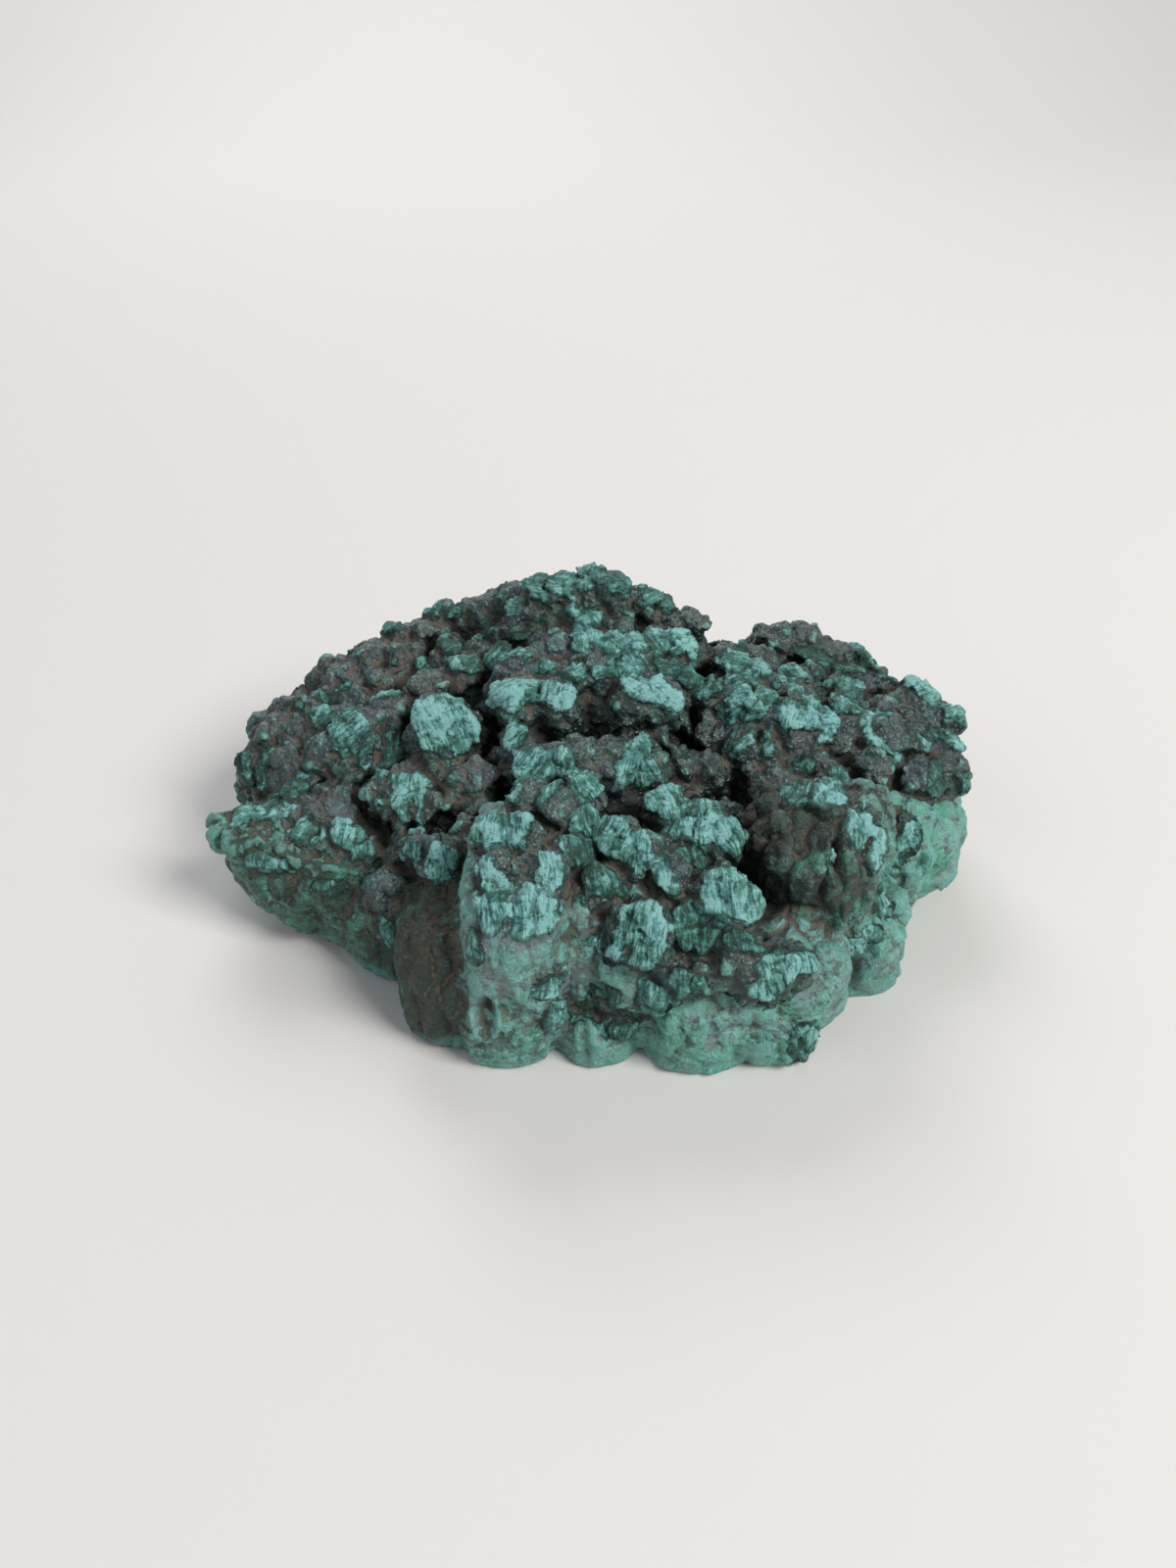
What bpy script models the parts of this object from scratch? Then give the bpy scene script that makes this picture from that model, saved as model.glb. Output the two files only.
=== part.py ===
"""Malachite specimen: one mass of fused fibrous columns that fan out from a broad flat foot.

The stone is a single solid. Smooth mounds make its body, and columns grow out of them. Every
column runs away from the growth centre of its cluster and ends in a broken, nearly flat cap.
Blender turns the overlapping forms into one skin, thins it, and cuts it flat where it rests.
Lengths in the tables are millimetres: +X right, +Y back, +Z up, with the foot at Z = 0.
"""
import math
import random

import bmesh
import bpy
from mathutils import Euler, Matrix, Vector, noise

NAME = "malachite_specimen"
MM = 0.001

# Driving dimensions.
VOXEL = 1.5 * MM  # grid on which the overlapping forms fuse
FACE_BUDGET = 10400  # triangles of the finished solid
CAP_THICKNESS = 0.42  # height of a cap's crown, as a share of its radius
CAP_SQUARENESS = 3.5  # 2 gives a round head, higher values a flat one with a crisp rim
COLUMN_FOOT = 1.2  # radius at a column's root, as a share of its radius
COLUMN_LENGTH = 3.4  # length of a column below its cap, in radii
COLUMN_EXTRA = 5.0  # and this many millimetres more
ROUGHNESS_SCALE = 9.0  # size of the irregular swellings on every form
ROUGHNESS_DEPTH = 0.10  # and their depth, as a share of the form's radius

# Body: centre, radii, tilts about X, Y and Z in degrees, and squareness. Columns cover the
# mounds, and the walls stay smooth.
MOUNDS = {
    "middle": ((-4, 4, 18), (60, 46, 27), (0, 0, 0), 2.5),
    "peak": ((-6, 44, 26), (35, 27, 42), (0, 0, 0), 2.4),
    "saddle": ((34, 38, 24), (30, 28, 31), (0, 0, 0), 2.5),
    "left_back": ((-54, 38, 20), (40, 35, 30), (0, 0, 0), 2.6),
    "far_left": ((-82, 35, 24), (18, 26, 17), (0, 0, 0), 2.4),
    "right": ((67, 22, 26), (35, 33, 23), (0, 0, 0), 2.6),
    "right_back": ((62, 50, 26), (27, 24, 24), (0, 0, 0), 2.4),
}
WALLS = {
    "left_blade": ((-76, -4, 29), (29, 13, 6.5), (0, 3, -8), 2.2),
    "left_wing": ((-68, -8, 15), (34, 13, 16), (0, 17, -12), 2.4),
    "left_wing_foot": ((-50, -14, 10), (19, 17, 18), (0, 8, 0), 2.4),
    "front_left": ((-19, -35, 25), (13.5, 24, 29), (0, 0, 0), 4.0),
    "front_left_flank": ((-34, -32, 12), (18, 23, 26), (0, 0, 0), 2.4),
    "front_left_foot": ((-22, -48, 10), (14, 13, 18), (0, 0, 0), 2.4),
    "front_middle": ((12, -32, 18), (19, 25, 27), (0, 0, 0), 2.6),
    "front_foot": ((0, -50, 4), (11, 10, 10), (0, 0, 0), 2.2),
    "front_bulge": ((26, -49, 8), (15, 14, 17), (0, 0, 0), 2.4),
    "front_right": ((40, -36, 16), (24, 24, 19), (0, 0, 0), 2.6),
    "right_bulge": ((44, -49, 11), (13, 13, 17), (0, 0, 0), 2.4),
    "dome_left": ((50, -24, 35), (13, 18, 22), (0, -8, 10), 2.2),
    "dome_middle": ((57, -25, 37), (11, 18, 22.5), (0, 0, 0), 2.2),
    "dome_right": ((65, -21, 35), (10, 17, 22), (0, 8, -12), 2.2),
    "right_step": ((64, -23, 10), (18, 15, 18), (0, 0, -14), 3.0),
    "right_foot": ((63, 10, 14), (33.5, 26, 20), (0, 0, 0), 2.6),
    "foot": ((8, 6, 3), (72, 52, 12), (0, 0, 0), 2.6),
}

# Clusters: growth centre, lean of the caps towards the front in degrees, and the columns, each
# as x, y, z of the middle of its cap and the cap's radius.
CLUSTERS = {
    "back_crest": (
        (-4, 34, 10), 20,
        [
            (-24, 60, 72, 5), (-33, 62, 67, 6.5), (-40, 63, 63, 4.5), (-47, 66, 61, 5),
            (-14, 49, 78, 4.5), (-7, 48, 79, 5), (-1, 47, 79, 4.5), (1, 52, 81, 4),
            (7, 47, 81, 5), (-19, 47, 73, 5.5), (-12, 45, 72, 4.5), (-1, 41, 74, 5.5),
            (8, 39, 73, 4.5), (16, 52, 73, 5), (22, 54, 70, 4.5), (32, 54, 65, 5),
        ],
    ),
    "middle_back": (
        (0, 14, 5), 35,
        [
            (-1, 31, 71, 5), (6, 30, 70, 4), (13, 31, 70, 4.5), (20, 35, 69, 4.5),
            (27, 35, 68, 5.5), (3, 23, 68, 4.5), (11, 23, 68, 5), (20, 26, 65, 4),
            (27, 27, 63, 5), (-6, 22, 67, 4.5), (-14, 25, 66, 4.5), (5, 18, 60, 6),
        ],
    ),
    "middle_row": (
        (-4, 8, 5), 30,
        [
            (-22, 27, 67, 6), (-22, 18, 66, 6.5), (-9, 16, 65, 6), (13, 13, 67, 5.5),
            (20, 13, 66, 5.5), (-21, 4, 57, 5),
        ],
    ),
    "left_back": (
        (-48, 22, -5), 25,
        [
            (-39, 49, 60, 6), (-30, 46, 61, 5), (-34, 38, 60, 5), (-45, 34, 57, 6.5),
            (-56, 54, 57, 6), (-66, 55, 55, 6), (-77, 54, 50, 5), (-58, 63, 57, 6), (-50, 64, 59, 6.5),
            (-70, 60, 52, 6), (-74, 44, 49, 6),
            (-80, 44, 46, 6), (-57, 23, 56, 5.5), (-95, 40, 41, 6.5), (-88, 27, 43, 6),
            (-94, 21, 38, 5.5),
        ],
    ),
    "left_tall": (
        (-42, 20, 0), 42,
        [
            (-39, 12, 58, 9.5), (-67, 16, 52, 8), (-63, 13, 49, 5), (-74, 13, 43, 5.5),
        ],
    ),
    "left_low": (
        (-44, 8, -5), 35,
        [
            (-49, 4, 47, 5), (-39, 3, 49, 6), (-30, -2, 50, 6), (-56, -2, 46, 5.5),
            (-49, -5, 46, 7), (-43, -9, 45, 5.5), (-44, -23, 43, 4), (-38, -29, 43, 4.5),
        ],
    ),
    "left_blade": (
        (-64, 2, -20), 20,
        [
            (-98, -1, 34, 5), (-90, 1, 36, 5), (-82, 1, 38, 4), (-79, -6, 37, 5),
            (-72, -9, 37, 4), (-65, -11, 38, 4.5), (-60, -14, 36, 4), (-71, 0, 41, 7.5),
            (-83, 9, 39, 6.5),
        ],
    ),
    "left_wing": (
        (-60, 10, 18), 10,
        [
            (-75, -16, 20, 5.5), (-65, -17, 20, 4), (-59, -18, 27, 3.5), (-53, -20, 21, 7),
            (-63, -19, 12, 4),
        ],
    ),
    "front_left": (
        (-14, -16, -10), 30,
        [
            (-16, -22, 60, 5), (-9, -25, 60, 5), (-1, -23, 59, 5), (-24, -35, 58, 5),
            (-17, -36, 58, 5.5), (-22, -47, 56, 6), (-13, -47, 55, 6), (-2, -30, 56, 4.5),
            (-5, -37, 54, 4.5), (2, -42, 48, 5.5),
        ],
    ),
    "front_middle": (
        (20, -18, 0), 30,
        [
            (5, -34, 56, 5.5), (12, -37, 54, 5), (18, -23, 57, 6), (26, -30, 56, 6.5),
            (32, -33, 54, 4.5), (24, -36, 50, 5.5), (18, -42, 50, 5), (31, -49, 47, 8),
            (24, -52, 43, 6.5), (9, -54, 42, 8), (34, -59, 38, 6.5), (20, -60, 32, 4),
            (26, -60, 32, 4), (15, -59, 27, 4.5), (41, -61, 33, 6.5), (48, -59, 34, 5),
            (4, -55, 22, 5), (4, -57, 13, 4.5), (-4, -50, 26, 4.5), (-7, -54, 10, 4.5),
        ],
    ),
    "middle": (
        (4, -2, 0), 35,
        [
            (-15, -4, 57, 7), (-5, -4, 58, 7), (6, -3, 57, 7.5), (14, -4, 56, 7),
            (26, 4, 51, 5.5), (27, 0, 47, 5), (34, 3, 48, 5.5),
        ],
    ),
    "right": (
        (64, 8, -4), 25,
        [
            (39, 34, 62, 5), (45, 31, 61, 4.5), (38, 27, 59, 4), (44, 27, 58, 3.5),
            (50, 28, 58, 4.5), (57, 33, 58, 5), (31, 23, 60, 4), (57, 24, 57, 4.5),
            (55, 15, 57, 6.5), (62, 15, 55, 5), (60, 10, 53, 3.5), (72, 34, 54, 6),
            (72, 27, 53, 6), (76, 20, 51, 5.5), (80, 12, 50, 6), (87, 25, 49, 5),
            (95, 33, 52, 5.5), (90, 17, 47, 5.5), (101, 19, 44, 5.5), (102, 28, 48, 5),
            (38, 21, 59, 5.5), (44, 18, 58, 5.5), (39, 8, 51, 5), (51, 10, 49, 7), (58, 8, 47, 6),
            (41, 7, 45, 4.5), (46, 8, 46, 4.5), (64, 8, 45, 6), (72, 9, 44, 6),
            (78, 6, 42, 5.5), (87, 11, 41, 6), (97, 17, 38, 6),
        ],
    ),
    "dome": (
        (55, -18, 10), 15,
        [
            (52, -22, 58, 5.5), (59, -24, 58, 5), (66, -20, 53, 4.5), (48, -36, 30, 5),
            (57, -36, 28, 5), (62, -36, 23, 4.5), (52, -38, 24, 4.5),
        ],
    ),
    "right_back": (
        (60, 46, 5), 15,
        [
            (55, 60, 57, 6.5), (63, 59, 56.5, 6), (71, 57, 53, 7.5), (79, 56, 49, 5.5),
        ],
    ),
}

# Rounded filling columns between the named ones.
FILL_SPACING = 11.5  # distance between neighbours on a mound, in millimetres
FILL_RADIUS = (4.5, 7.0)
FILL_RISE = (1.0, 5.5)  # how far their heads stand out of the mound
FILL_LOWEST = 7.0  # none grows below this height
FILL_BURIED = 0.93  # none grows where another mound covers the place this deeply


def clear_scene():
    """Removes the objects of the file that the script starts in."""
    for thing in list(bpy.data.objects):
        bpy.data.objects.remove(thing, do_unlink=True)


def new_collection(name):
    """A collection under the scene."""
    made = bpy.data.collections.new(name)
    bpy.context.scene.collection.children.link(made)
    return made


def squared(point, power):
    """A point of the unit ball moved to a rounder or squarer ball of the same half width."""
    total = sum(abs(value) ** power for value in point)
    return point / total ** (1.0 / power)


def swelling(point, seed):
    """Smooth irregularity between about -1 and 1 at a place in millimetres."""
    place = point / ROUGHNESS_SCALE + Vector((seed * 3.1, seed * 1.7, seed * 0.9))
    return noise.noise(place) + 0.5 * noise.noise(place * 2.3)


def add_mound(form, centre, radii, tilts, power, seed):
    """Adds a smooth body form to a mesh under construction."""
    turn = Euler([math.radians(angle) for angle in tilts]).to_matrix()
    ball = bmesh.ops.create_icosphere(form, subdivisions=4, radius=1.0)["verts"]
    depth = ROUGHNESS_DEPTH * min(radii) * 0.5
    for vertex in ball:
        way = vertex.co.normalized()
        local = squared(way, power)
        place = turn @ Vector([a * b for a, b in zip(local, radii)]) + Vector(centre)
        place += (turn @ way) * depth * swelling(place, seed)
        vertex.co = place * MM


def column_frame(top, root):
    """Axis of a column and two directions across it, the first one level."""
    axis = (Vector(top) - Vector(root)).normalized()
    across = Vector((0, -1, 0)).cross(axis)
    across = axis.cross(Vector((1, 0, 0))) if across.length < 0.1 else across
    across.normalize()
    return axis, across, axis.cross(across)


def cap_normal(axis, lean, draw):
    """Direction that a broken cap faces: its axis, tipped to the front and a little at random."""
    tipped = axis + Vector((0, -1, 0)) * math.tan(math.radians(lean)) * 0.5
    tipped += Vector([draw.uniform(-0.2, 0.2) for _ in range(3)])
    return tipped.normalized()


def add_column(form, top, radius, root, lean, draw):
    """Adds one column: a tilted, nearly flat broken cap on a shaft that widens towards its root."""
    axis, side, other = column_frame(top, root)
    normal = cap_normal(axis, lean, draw)
    length = COLUMN_LENGTH * radius + COLUMN_EXTRA
    lobes = draw.choice((3, 4, 5))
    lobe_way = draw.uniform(0.0, math.tau)
    lobe_depth = draw.uniform(0.05, 0.13)
    seed = draw.uniform(0.0, 20.0)
    ball = bmesh.ops.create_icosphere(form, subdivisions=3, radius=1.0)["verts"]
    for vertex in ball:
        unit = vertex.co.normalized()
        angle = math.atan2(unit.y, unit.x)
        rise = unit.z
        if rise > 0.0:
            width = (1.0 - rise**CAP_SQUARENESS) ** (1.0 / CAP_SQUARENESS)
            height = CAP_THICKNESS * radius * (rise - 1.0)
        else:
            width = math.sqrt(1.0 - rise**4) * (1.0 + (1.0 - COLUMN_FOOT) * rise)
            height = length * rise - CAP_THICKNESS * radius
        width *= radius * (1.0 + lobe_depth * math.cos(lobes * angle + lobe_way))
        spread = side * math.cos(angle) + other * math.sin(angle)
        near_cap = max(0.0, 1.0 + 2.0 * min(rise, 0.0))
        height -= near_cap * width * spread.dot(normal) / max(0.5, axis.dot(normal))
        place = Vector(top) + axis * height + spread * width
        place += spread * radius * ROUGHNESS_DEPTH * swelling(place, seed)
        vertex.co = place * MM


def inside_share(place, centre, radii, tilts, power):
    """How far out in a mound a place lies: 0 at its centre, 1 on its skin."""
    turn = Euler([math.radians(angle) for angle in tilts]).to_matrix()
    local = turn.transposed() @ (place - Vector(centre))
    return sum(abs(a / b) ** power for a, b in zip(local, radii)) ** (1.0 / power)


def fill_places(name, draw):
    """Evenly spread places on a mound's skin that no other mound or wall covers."""
    centre, radii, tilts, power = MOUNDS[name]
    turn = Euler([math.radians(angle) for angle in tilts]).to_matrix()
    mean = (radii[0] * radii[1] + radii[1] * radii[2] + radii[0] * radii[2]) / 3
    count = round(4 * math.pi * mean / (0.87 * FILL_SPACING**2))
    others = [form for other, form in {**MOUNDS, **WALLS}.items() if other != name]
    for number in range(count):
        rise = 1.0 - (2.0 * number + 1.0) / count
        angle = number * math.pi * (3.0 - math.sqrt(5.0))
        wide = math.sqrt(1.0 - rise * rise)
        way = Vector((wide * math.cos(angle), wide * math.sin(angle), rise))
        way += Vector([draw.uniform(-0.06, 0.06) for _ in range(3)])
        way.normalize()
        local = squared(way, power)
        place = turn @ Vector([a * b for a, b in zip(local, radii)]) + Vector(centre)
        covered = any(inside_share(place, *form) < FILL_BURIED for form in others)
        if place.z > FILL_LOWEST and not covered:
            yield place, (turn @ way).normalized()


def add_fill(form):
    """Packs rounded columns over the mounds, from their flanks to their tops."""
    draw = random.Random(7)
    for name, mound in MOUNDS.items():
        for place, outward in fill_places(name, draw):
            radius = draw.uniform(*FILL_RADIUS)
            top = place + outward * draw.uniform(*FILL_RISE)
            root = Vector(mound[0]) * 0.5 + (place - outward * 30) * 0.5
            add_column(form, top, radius, root, 0, draw)


def fused(rough):
    """The one skin around all the overlapping forms, without the pockets inside it."""
    skin = rough.modifiers.new("Fuse", "REMESH")
    skin.mode = "VOXEL"
    skin.voxel_size = VOXEL
    shell = evaluated_mesh(rough)
    form = bmesh.new()
    form.from_mesh(shell)
    loose = set(form.verts)
    islands = []
    while loose:
        front = [loose.pop()]
        island = list(front)
        while front:
            vertex = front.pop()
            for edge in vertex.link_edges:
                near = edge.other_vert(vertex)
                if near in loose:
                    loose.remove(near)
                    front.append(near)
                    island.append(near)
        islands.append(island)
    islands.sort(key=len)
    for island in islands[:-1]:
        bmesh.ops.delete(form, geom=island, context="VERTS")
    bmesh.ops.triangulate(form, faces=form.faces[:])
    form.to_mesh(shell)
    form.free()
    return shell


def evaluated_mesh(thing):
    """The object's mesh with its modifiers, as a mesh of its own."""
    graph = bpy.context.evaluated_depsgraph_get()
    graph.update()
    return bpy.data.meshes.new_from_object(thing.evaluated_get(graph))


def thinned(stone, budget):
    """Lowers the triangle count and keeps the shape."""
    thin = stone.modifiers.new("Thin", "DECIMATE")
    thin.ratio = budget / len(stone.data.polygons)
    thin.use_collapse_triangulate = True
    stone.data = evaluated_mesh(stone)
    stone.modifiers.remove(thin)


def foot_cutter(collection):
    """A block under Z = 0 that cuts the resting face."""
    size = 400 * MM
    bpy.ops.mesh.primitive_cube_add(size=size, location=(0, 0, -size / 2))
    block = bpy.context.object
    block.name = "foot_cutter"
    for owner in list(block.users_collection):
        owner.objects.unlink(block)
    collection.objects.link(block)
    block.hide_render = True
    block.display_type = "WIRE"
    return block


def stone_material():
    """Dark green stone, matt to silky."""
    made = bpy.data.materials.new("malachite")
    made.use_nodes = True
    shader = made.node_tree.nodes["Principled BSDF"]
    shader.inputs["Base Color"].default_value = (0.035, 0.16, 0.11, 1.0)
    shader.inputs["Roughness"].default_value = 0.55
    shader.inputs["Metallic"].default_value = 0.0
    return made


def rough_forms():
    """All the overlapping forms in one mesh object."""
    form = bmesh.new()
    for seed, body in enumerate([*MOUNDS.values(), *WALLS.values()]):
        add_mound(form, *body, seed)
    for number, (root, lean, caps) in enumerate(CLUSTERS.values()):
        draw = random.Random(100 + number)
        for x, y, z, radius in caps:
            add_column(form, (x, y, z), radius, root, lean, draw)
    add_fill(form)
    mesh = bpy.data.meshes.new("rough")
    form.to_mesh(mesh)
    form.free()
    return bpy.data.objects.new("rough", mesh)


def centre_on_foot(stone):
    """Puts the origin under the middle of the stone, on the plane that it rests on."""
    xs = [vertex.co.x for vertex in stone.data.vertices]
    ys = [vertex.co.y for vertex in stone.data.vertices]
    middle = Vector(((min(xs) + max(xs)) / 2, (min(ys) + max(ys)) / 2, 0.0))
    stone.data.transform(Matrix.Translation(-middle))
    return middle


def build():
    """Makes the specimen and returns how far its origin moved."""
    clear_scene()
    part = new_collection(NAME)
    cutters = new_collection("cutters")
    rough = rough_forms()
    part.objects.link(rough)
    stone = bpy.data.objects.new(NAME, fused(rough))
    part.objects.link(stone)
    bpy.data.objects.remove(rough, do_unlink=True)
    thinned(stone, FACE_BUDGET)
    moved = centre_on_foot(stone)
    stone.data.name = NAME
    stone.data.materials.append(stone_material())
    cut = stone.modifiers.new("Foot", "BOOLEAN")
    cut.operation = "DIFFERENCE"
    cut.solver = "EXACT"
    cut.object = foot_cutter(cutters)
    return moved


MOVED = build()
print("origin moved by", [round(value / MM, 2) for value in MOVED], "mm")
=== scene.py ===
"""Looks of the malachite specimen: fused fibrous columns with pale broken caps and dark nodular flanks.

The forms of the CAD solid are made again here at a finer grain. Blender fuses them, the skin gets
its nodules, fibres, ledges and cracks, and one node material colours it from what each place is.
Lengths in the tables are millimetres: +X right, +Y back, +Z up, with the foot at Z = 0.
"""
import math
import random
from typing import NamedTuple

import bmesh
import bpy
import numpy as np
from mathutils import Euler, Matrix, Vector, noise
from mathutils.bvhtree import BVHTree
from mathutils.kdtree import KDTree


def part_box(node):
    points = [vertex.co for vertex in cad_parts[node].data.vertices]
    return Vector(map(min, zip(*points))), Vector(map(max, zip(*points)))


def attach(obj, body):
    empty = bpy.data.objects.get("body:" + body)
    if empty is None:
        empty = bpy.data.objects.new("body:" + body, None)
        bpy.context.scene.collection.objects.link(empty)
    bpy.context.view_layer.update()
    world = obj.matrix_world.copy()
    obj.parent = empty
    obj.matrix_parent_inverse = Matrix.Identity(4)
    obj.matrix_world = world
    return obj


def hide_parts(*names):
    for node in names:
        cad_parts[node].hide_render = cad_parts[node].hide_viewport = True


NODE = "malachite_specimen"
PIECE = "malachite"
MM = 0.001
FRONT = Vector((0, -1, 0))

# Grain of the mesh.
VOXEL = 0.62
TRIANGLES = 194000
FORM_DETAIL = 4  # subdivisions of the ball that each form starts from
KNOB_DETAIL = 2  # and of the ball that each knob starts from
MOUND_SHRINK = 4.5  # how much thinner the mounds are than in the CAD solid
SKY_RAYS = 12
SKY_REACH = 30.0  # length of a ray to the sky

# Form of the columns. A length that isn't in millimetres is a share of the cap's radius.
CAP_THICKNESS = 0.42
CAP_SQUARENESS = 3.5  # 2 gives a round head, higher values a flat one with a crisp rim
CAP_TIP = 0.2  # random part of the way that a cap faces
COLUMN_FOOT = 1.2
COLUMN_LENGTH = 3.4
COLUMN_EXTRA = 5.0  # and this many millimetres more
LOBE_COUNTS = (3, 4, 5)  # lobes of a cap's outline
LOBE_DEPTH = (0.05, 0.13)
ROUGHNESS_SCALE = 9.0  # millimetres
ROUGHNESS_DEPTH = 0.10
FINER = 2.3  # how much finer the second swelling of a skin is
SWELLING_SHIFT = np.array((3.1, 1.7, 0.9))  # how far one seed lies from the next

# Broken caps: flat faces around and on top, their tilts in degrees, and how far out they lie.
SIDE_FACETS, TOP_FACETS = 6, 2
SIDE_TILT, TOP_TILT = (32, 66), (8, 24)
FACET_REACH = (0.70, 0.92)
UNEVEN = 0.35  # random part of the even spacing around a column
CAP_FLOOR = (-0.65, -0.25)  # how far down the flank the pale break runs
CUT_LEAN = np.array((0.0, -0.8, 0.1))  # the side of a cap that stays pale
CUT_AT = (-0.9, 0.25)

# Round knobs in rows down each column's flank.
KNOB_ROWS = 3
KNOB_START, KNOB_STEP, KNOB_DROP = 0.10, 0.17, 0.06  # shares of the column's length
KNOB_COUNTS = (4, 5, 6)
KNOB_SHARE = (0.30, 0.52)
KNOB_SIZES = (2.2, 5.0)  # millimetres
KNOB_SINK = 0.35  # share of a knob's size by which it is sunk in the flank
KNOB_STRETCH = 0.5

# Columns that fill the mounds between the named ones, in millimetres.
FILL_SPACING = 11.5
FILL_PACKING = 0.87  # area of a place, in squares of the spacing
FILL_JITTER = 0.06
FILL_RADIUS = (4.5, 7.0)
FILL_RISE = (1.0, 5.5)
FILL_DEPTH = 30
FILL_LOWEST = 7.0
FILL_BURIED = 0.93  # no column starts deeper than this share of another form
BACK_FROM, LOW_BELOW = 52, 30  # where the filling columns are paler
FILL_PALENESS, BACK_PALENESS = 0.3, 0.8
BARE_RIGHT = (84, 32, 36)  # none grows right of, in front of and below these

# First seeds of the random draws.
CLUSTER_SEED, CHIP_SEED, FILL_SEED, PALE_SEED, KNOB_SEED, SKY_SEED = 100, 1000, 7, 8, 11, 5


class Body(NamedTuple):
    """A smooth form. A wall's look is how light it is, how deep its green, how much grey film
    covers it and how much of its skin hangs in long lobes, each up to 1.
    """

    centre: tuple
    radii: tuple
    squareness: float
    look: tuple = ()
    tilts: tuple = (0, 0, 0)  # degrees about X, Y and Z


# Body: columns cover the mounds, and the walls stay smooth.
MOUNDS = {
    "middle": Body((-4, 4, 18), (60, 46, 27), 2.5),
    "peak": Body((-6, 44, 26), (35, 27, 42), 2.4),
    "saddle": Body((34, 38, 24), (30, 28, 31), 2.5),
    "left_back": Body((-54, 38, 20), (40, 35, 30), 2.6),
    "far_left": Body((-82, 35, 24), (18, 26, 17), 2.4),
    "right": Body((67, 22, 26), (35, 33, 23), 2.6),
    "right_back": Body((62, 50, 26), (27, 24, 24), 2.4),
}
WALLS = {
    "left_blade": Body((-76, -4, 29), (29, 13, 6.5), 2.2, (0.35, 0.85, 0.00, 0.0), (0, 3, -8)),
    "left_wing": Body((-68, -8, 15), (34, 13, 16), 2.4, (0.16, 1.00, 0.00, 0.1), (0, 17, -12)),
    "left_wing_foot": Body((-50, -14, 10), (19, 17, 18), 2.4, (0.10, 0.90, 0.05, 0.6), (0, 8, 0)),
    "front_left": Body((-19, -35, 25), (13.5, 24, 29), 4.0, (0.80, 0.15, 0.50, 0.4)),
    "front_left_flank": Body((-34, -32, 12), (18, 23, 26), 2.4, (-0.25, 0.90, 0.00, 0.7)),
    "front_left_foot": Body((-22, -48, 10), (14, 13, 18), 2.4, (0.40, 0.60, 0.15, 0.2)),
    "front_middle": Body((12, -32, 18), (19, 25, 27), 2.6, (0.65, 0.35, 0.45, 0.3)),
    "front_foot": Body((0, -50, 4), (11, 10, 10), 2.2, (0.75, 0.45, 0.25, 0.0)),
    "front_bulge": Body((26, -49, 8), (15, 14, 17), 2.4, (0.75, 0.65, 0.15, 0.0)),
    "front_right": Body((40, -36, 16), (24, 24, 19), 2.6, (0.70, 0.45, 0.40, 0.2)),
    "right_bulge": Body((44, -49, 11), (13, 13, 17), 2.4, (0.95, 0.55, 0.20, 0.0)),
    "dome_left": Body((50, -24, 35), (13, 18, 22), 2.2, (0.00, 0.45, 0.05, 1.0), (0, -8, 10)),
    "dome_middle": Body((57, -25, 37), (11, 18, 22.5), 2.2, (0.08, 0.50, 0.15, 1.0)),
    "dome_right": Body((65, -21, 35), (10, 17, 22), 2.2, (0.25, 0.40, 0.30, 0.8), (0, 8, -12)),
    "right_step": Body((64, -23, 10), (18, 15, 18), 3.0, (0.88, 0.45, 0.25, 0.1), (0, 0, -14)),
    "right_foot": Body((63, 10, 14), (33.5, 26, 20), 2.6, (0.90, 0.50, 0.10, 0.1)),
    "foot": Body((8, 6, 3), (72, 52, 12), 2.6, (0.40, 0.50, 0.25, 0.0)),
}

# Walls that only show between or below other forms.
INNER_WALLS = {
    "right_wall": Body((68, 15, 21), (35.5, 31, 20), 2.8, (0.95, 0.50, 0.10, 0.0)),
    "front_groove": Body((-4, -38, 20), (8, 15.5, 27), 2.4, (0.35, 0.50, 0.30, 0.6)),
}
ALL_WALLS = {**WALLS, **INNER_WALLS}

# Pale broken places on the walls: centre, radii, and how pale, from 0 to 1.
PATCHES = [
    ((-14, -55, 49), (6.5, 7, 6.5), 0.95),
    ((-24, -54, 50), (4.5, 7, 6.5), 0.85),
    ((-28, -56, 40), (2.2, 6, 6.5), 0.60),
    ((-11.5, -59, 28), (5.0, 5, 4.5), 0.75),
    ((-10, -57, 17), (3.0, 5, 6.5), 0.75),
    ((8, -54, 37.5), (10.0, 7, 5.0), 0.90),
    ((13, -58, 22), (4.5, 5, 4.0), 0.60),
    ((50, -60, 10), (4.0, 6, 7.5), 0.60),
    ((42, -62, 25), (7.0, 6, 3.0), 0.60),
    ((57, -24, 58.5), (7.0, 6, 4.0), 0.90),
    ((63, -31, 54.5), (4.5, 7, 5.5), 0.95),
    ((68, -33, 48), (3.2, 6, 6.5), 0.85),
    ((57, -37, 49.5), (2.2, 4, 3.0), 0.70),
    ((74, -30, 25.5), (3.6, 5, 3.0), 0.80),
    ((70, -35, 22), (3.4, 4, 2.6), 0.80),
    ((65.5, -37, 19.5), (3.4, 4, 2.4), 0.80),
    ((-86, -14, 30), (7.0, 4, 3.0), 0.50),
    ((-70, -20, 25), (6.0, 4, 2.4), 0.45),
]
PATCH_FACING = (0.1, -0.85, 0.52)  # the way the patches' broken faces look

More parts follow.
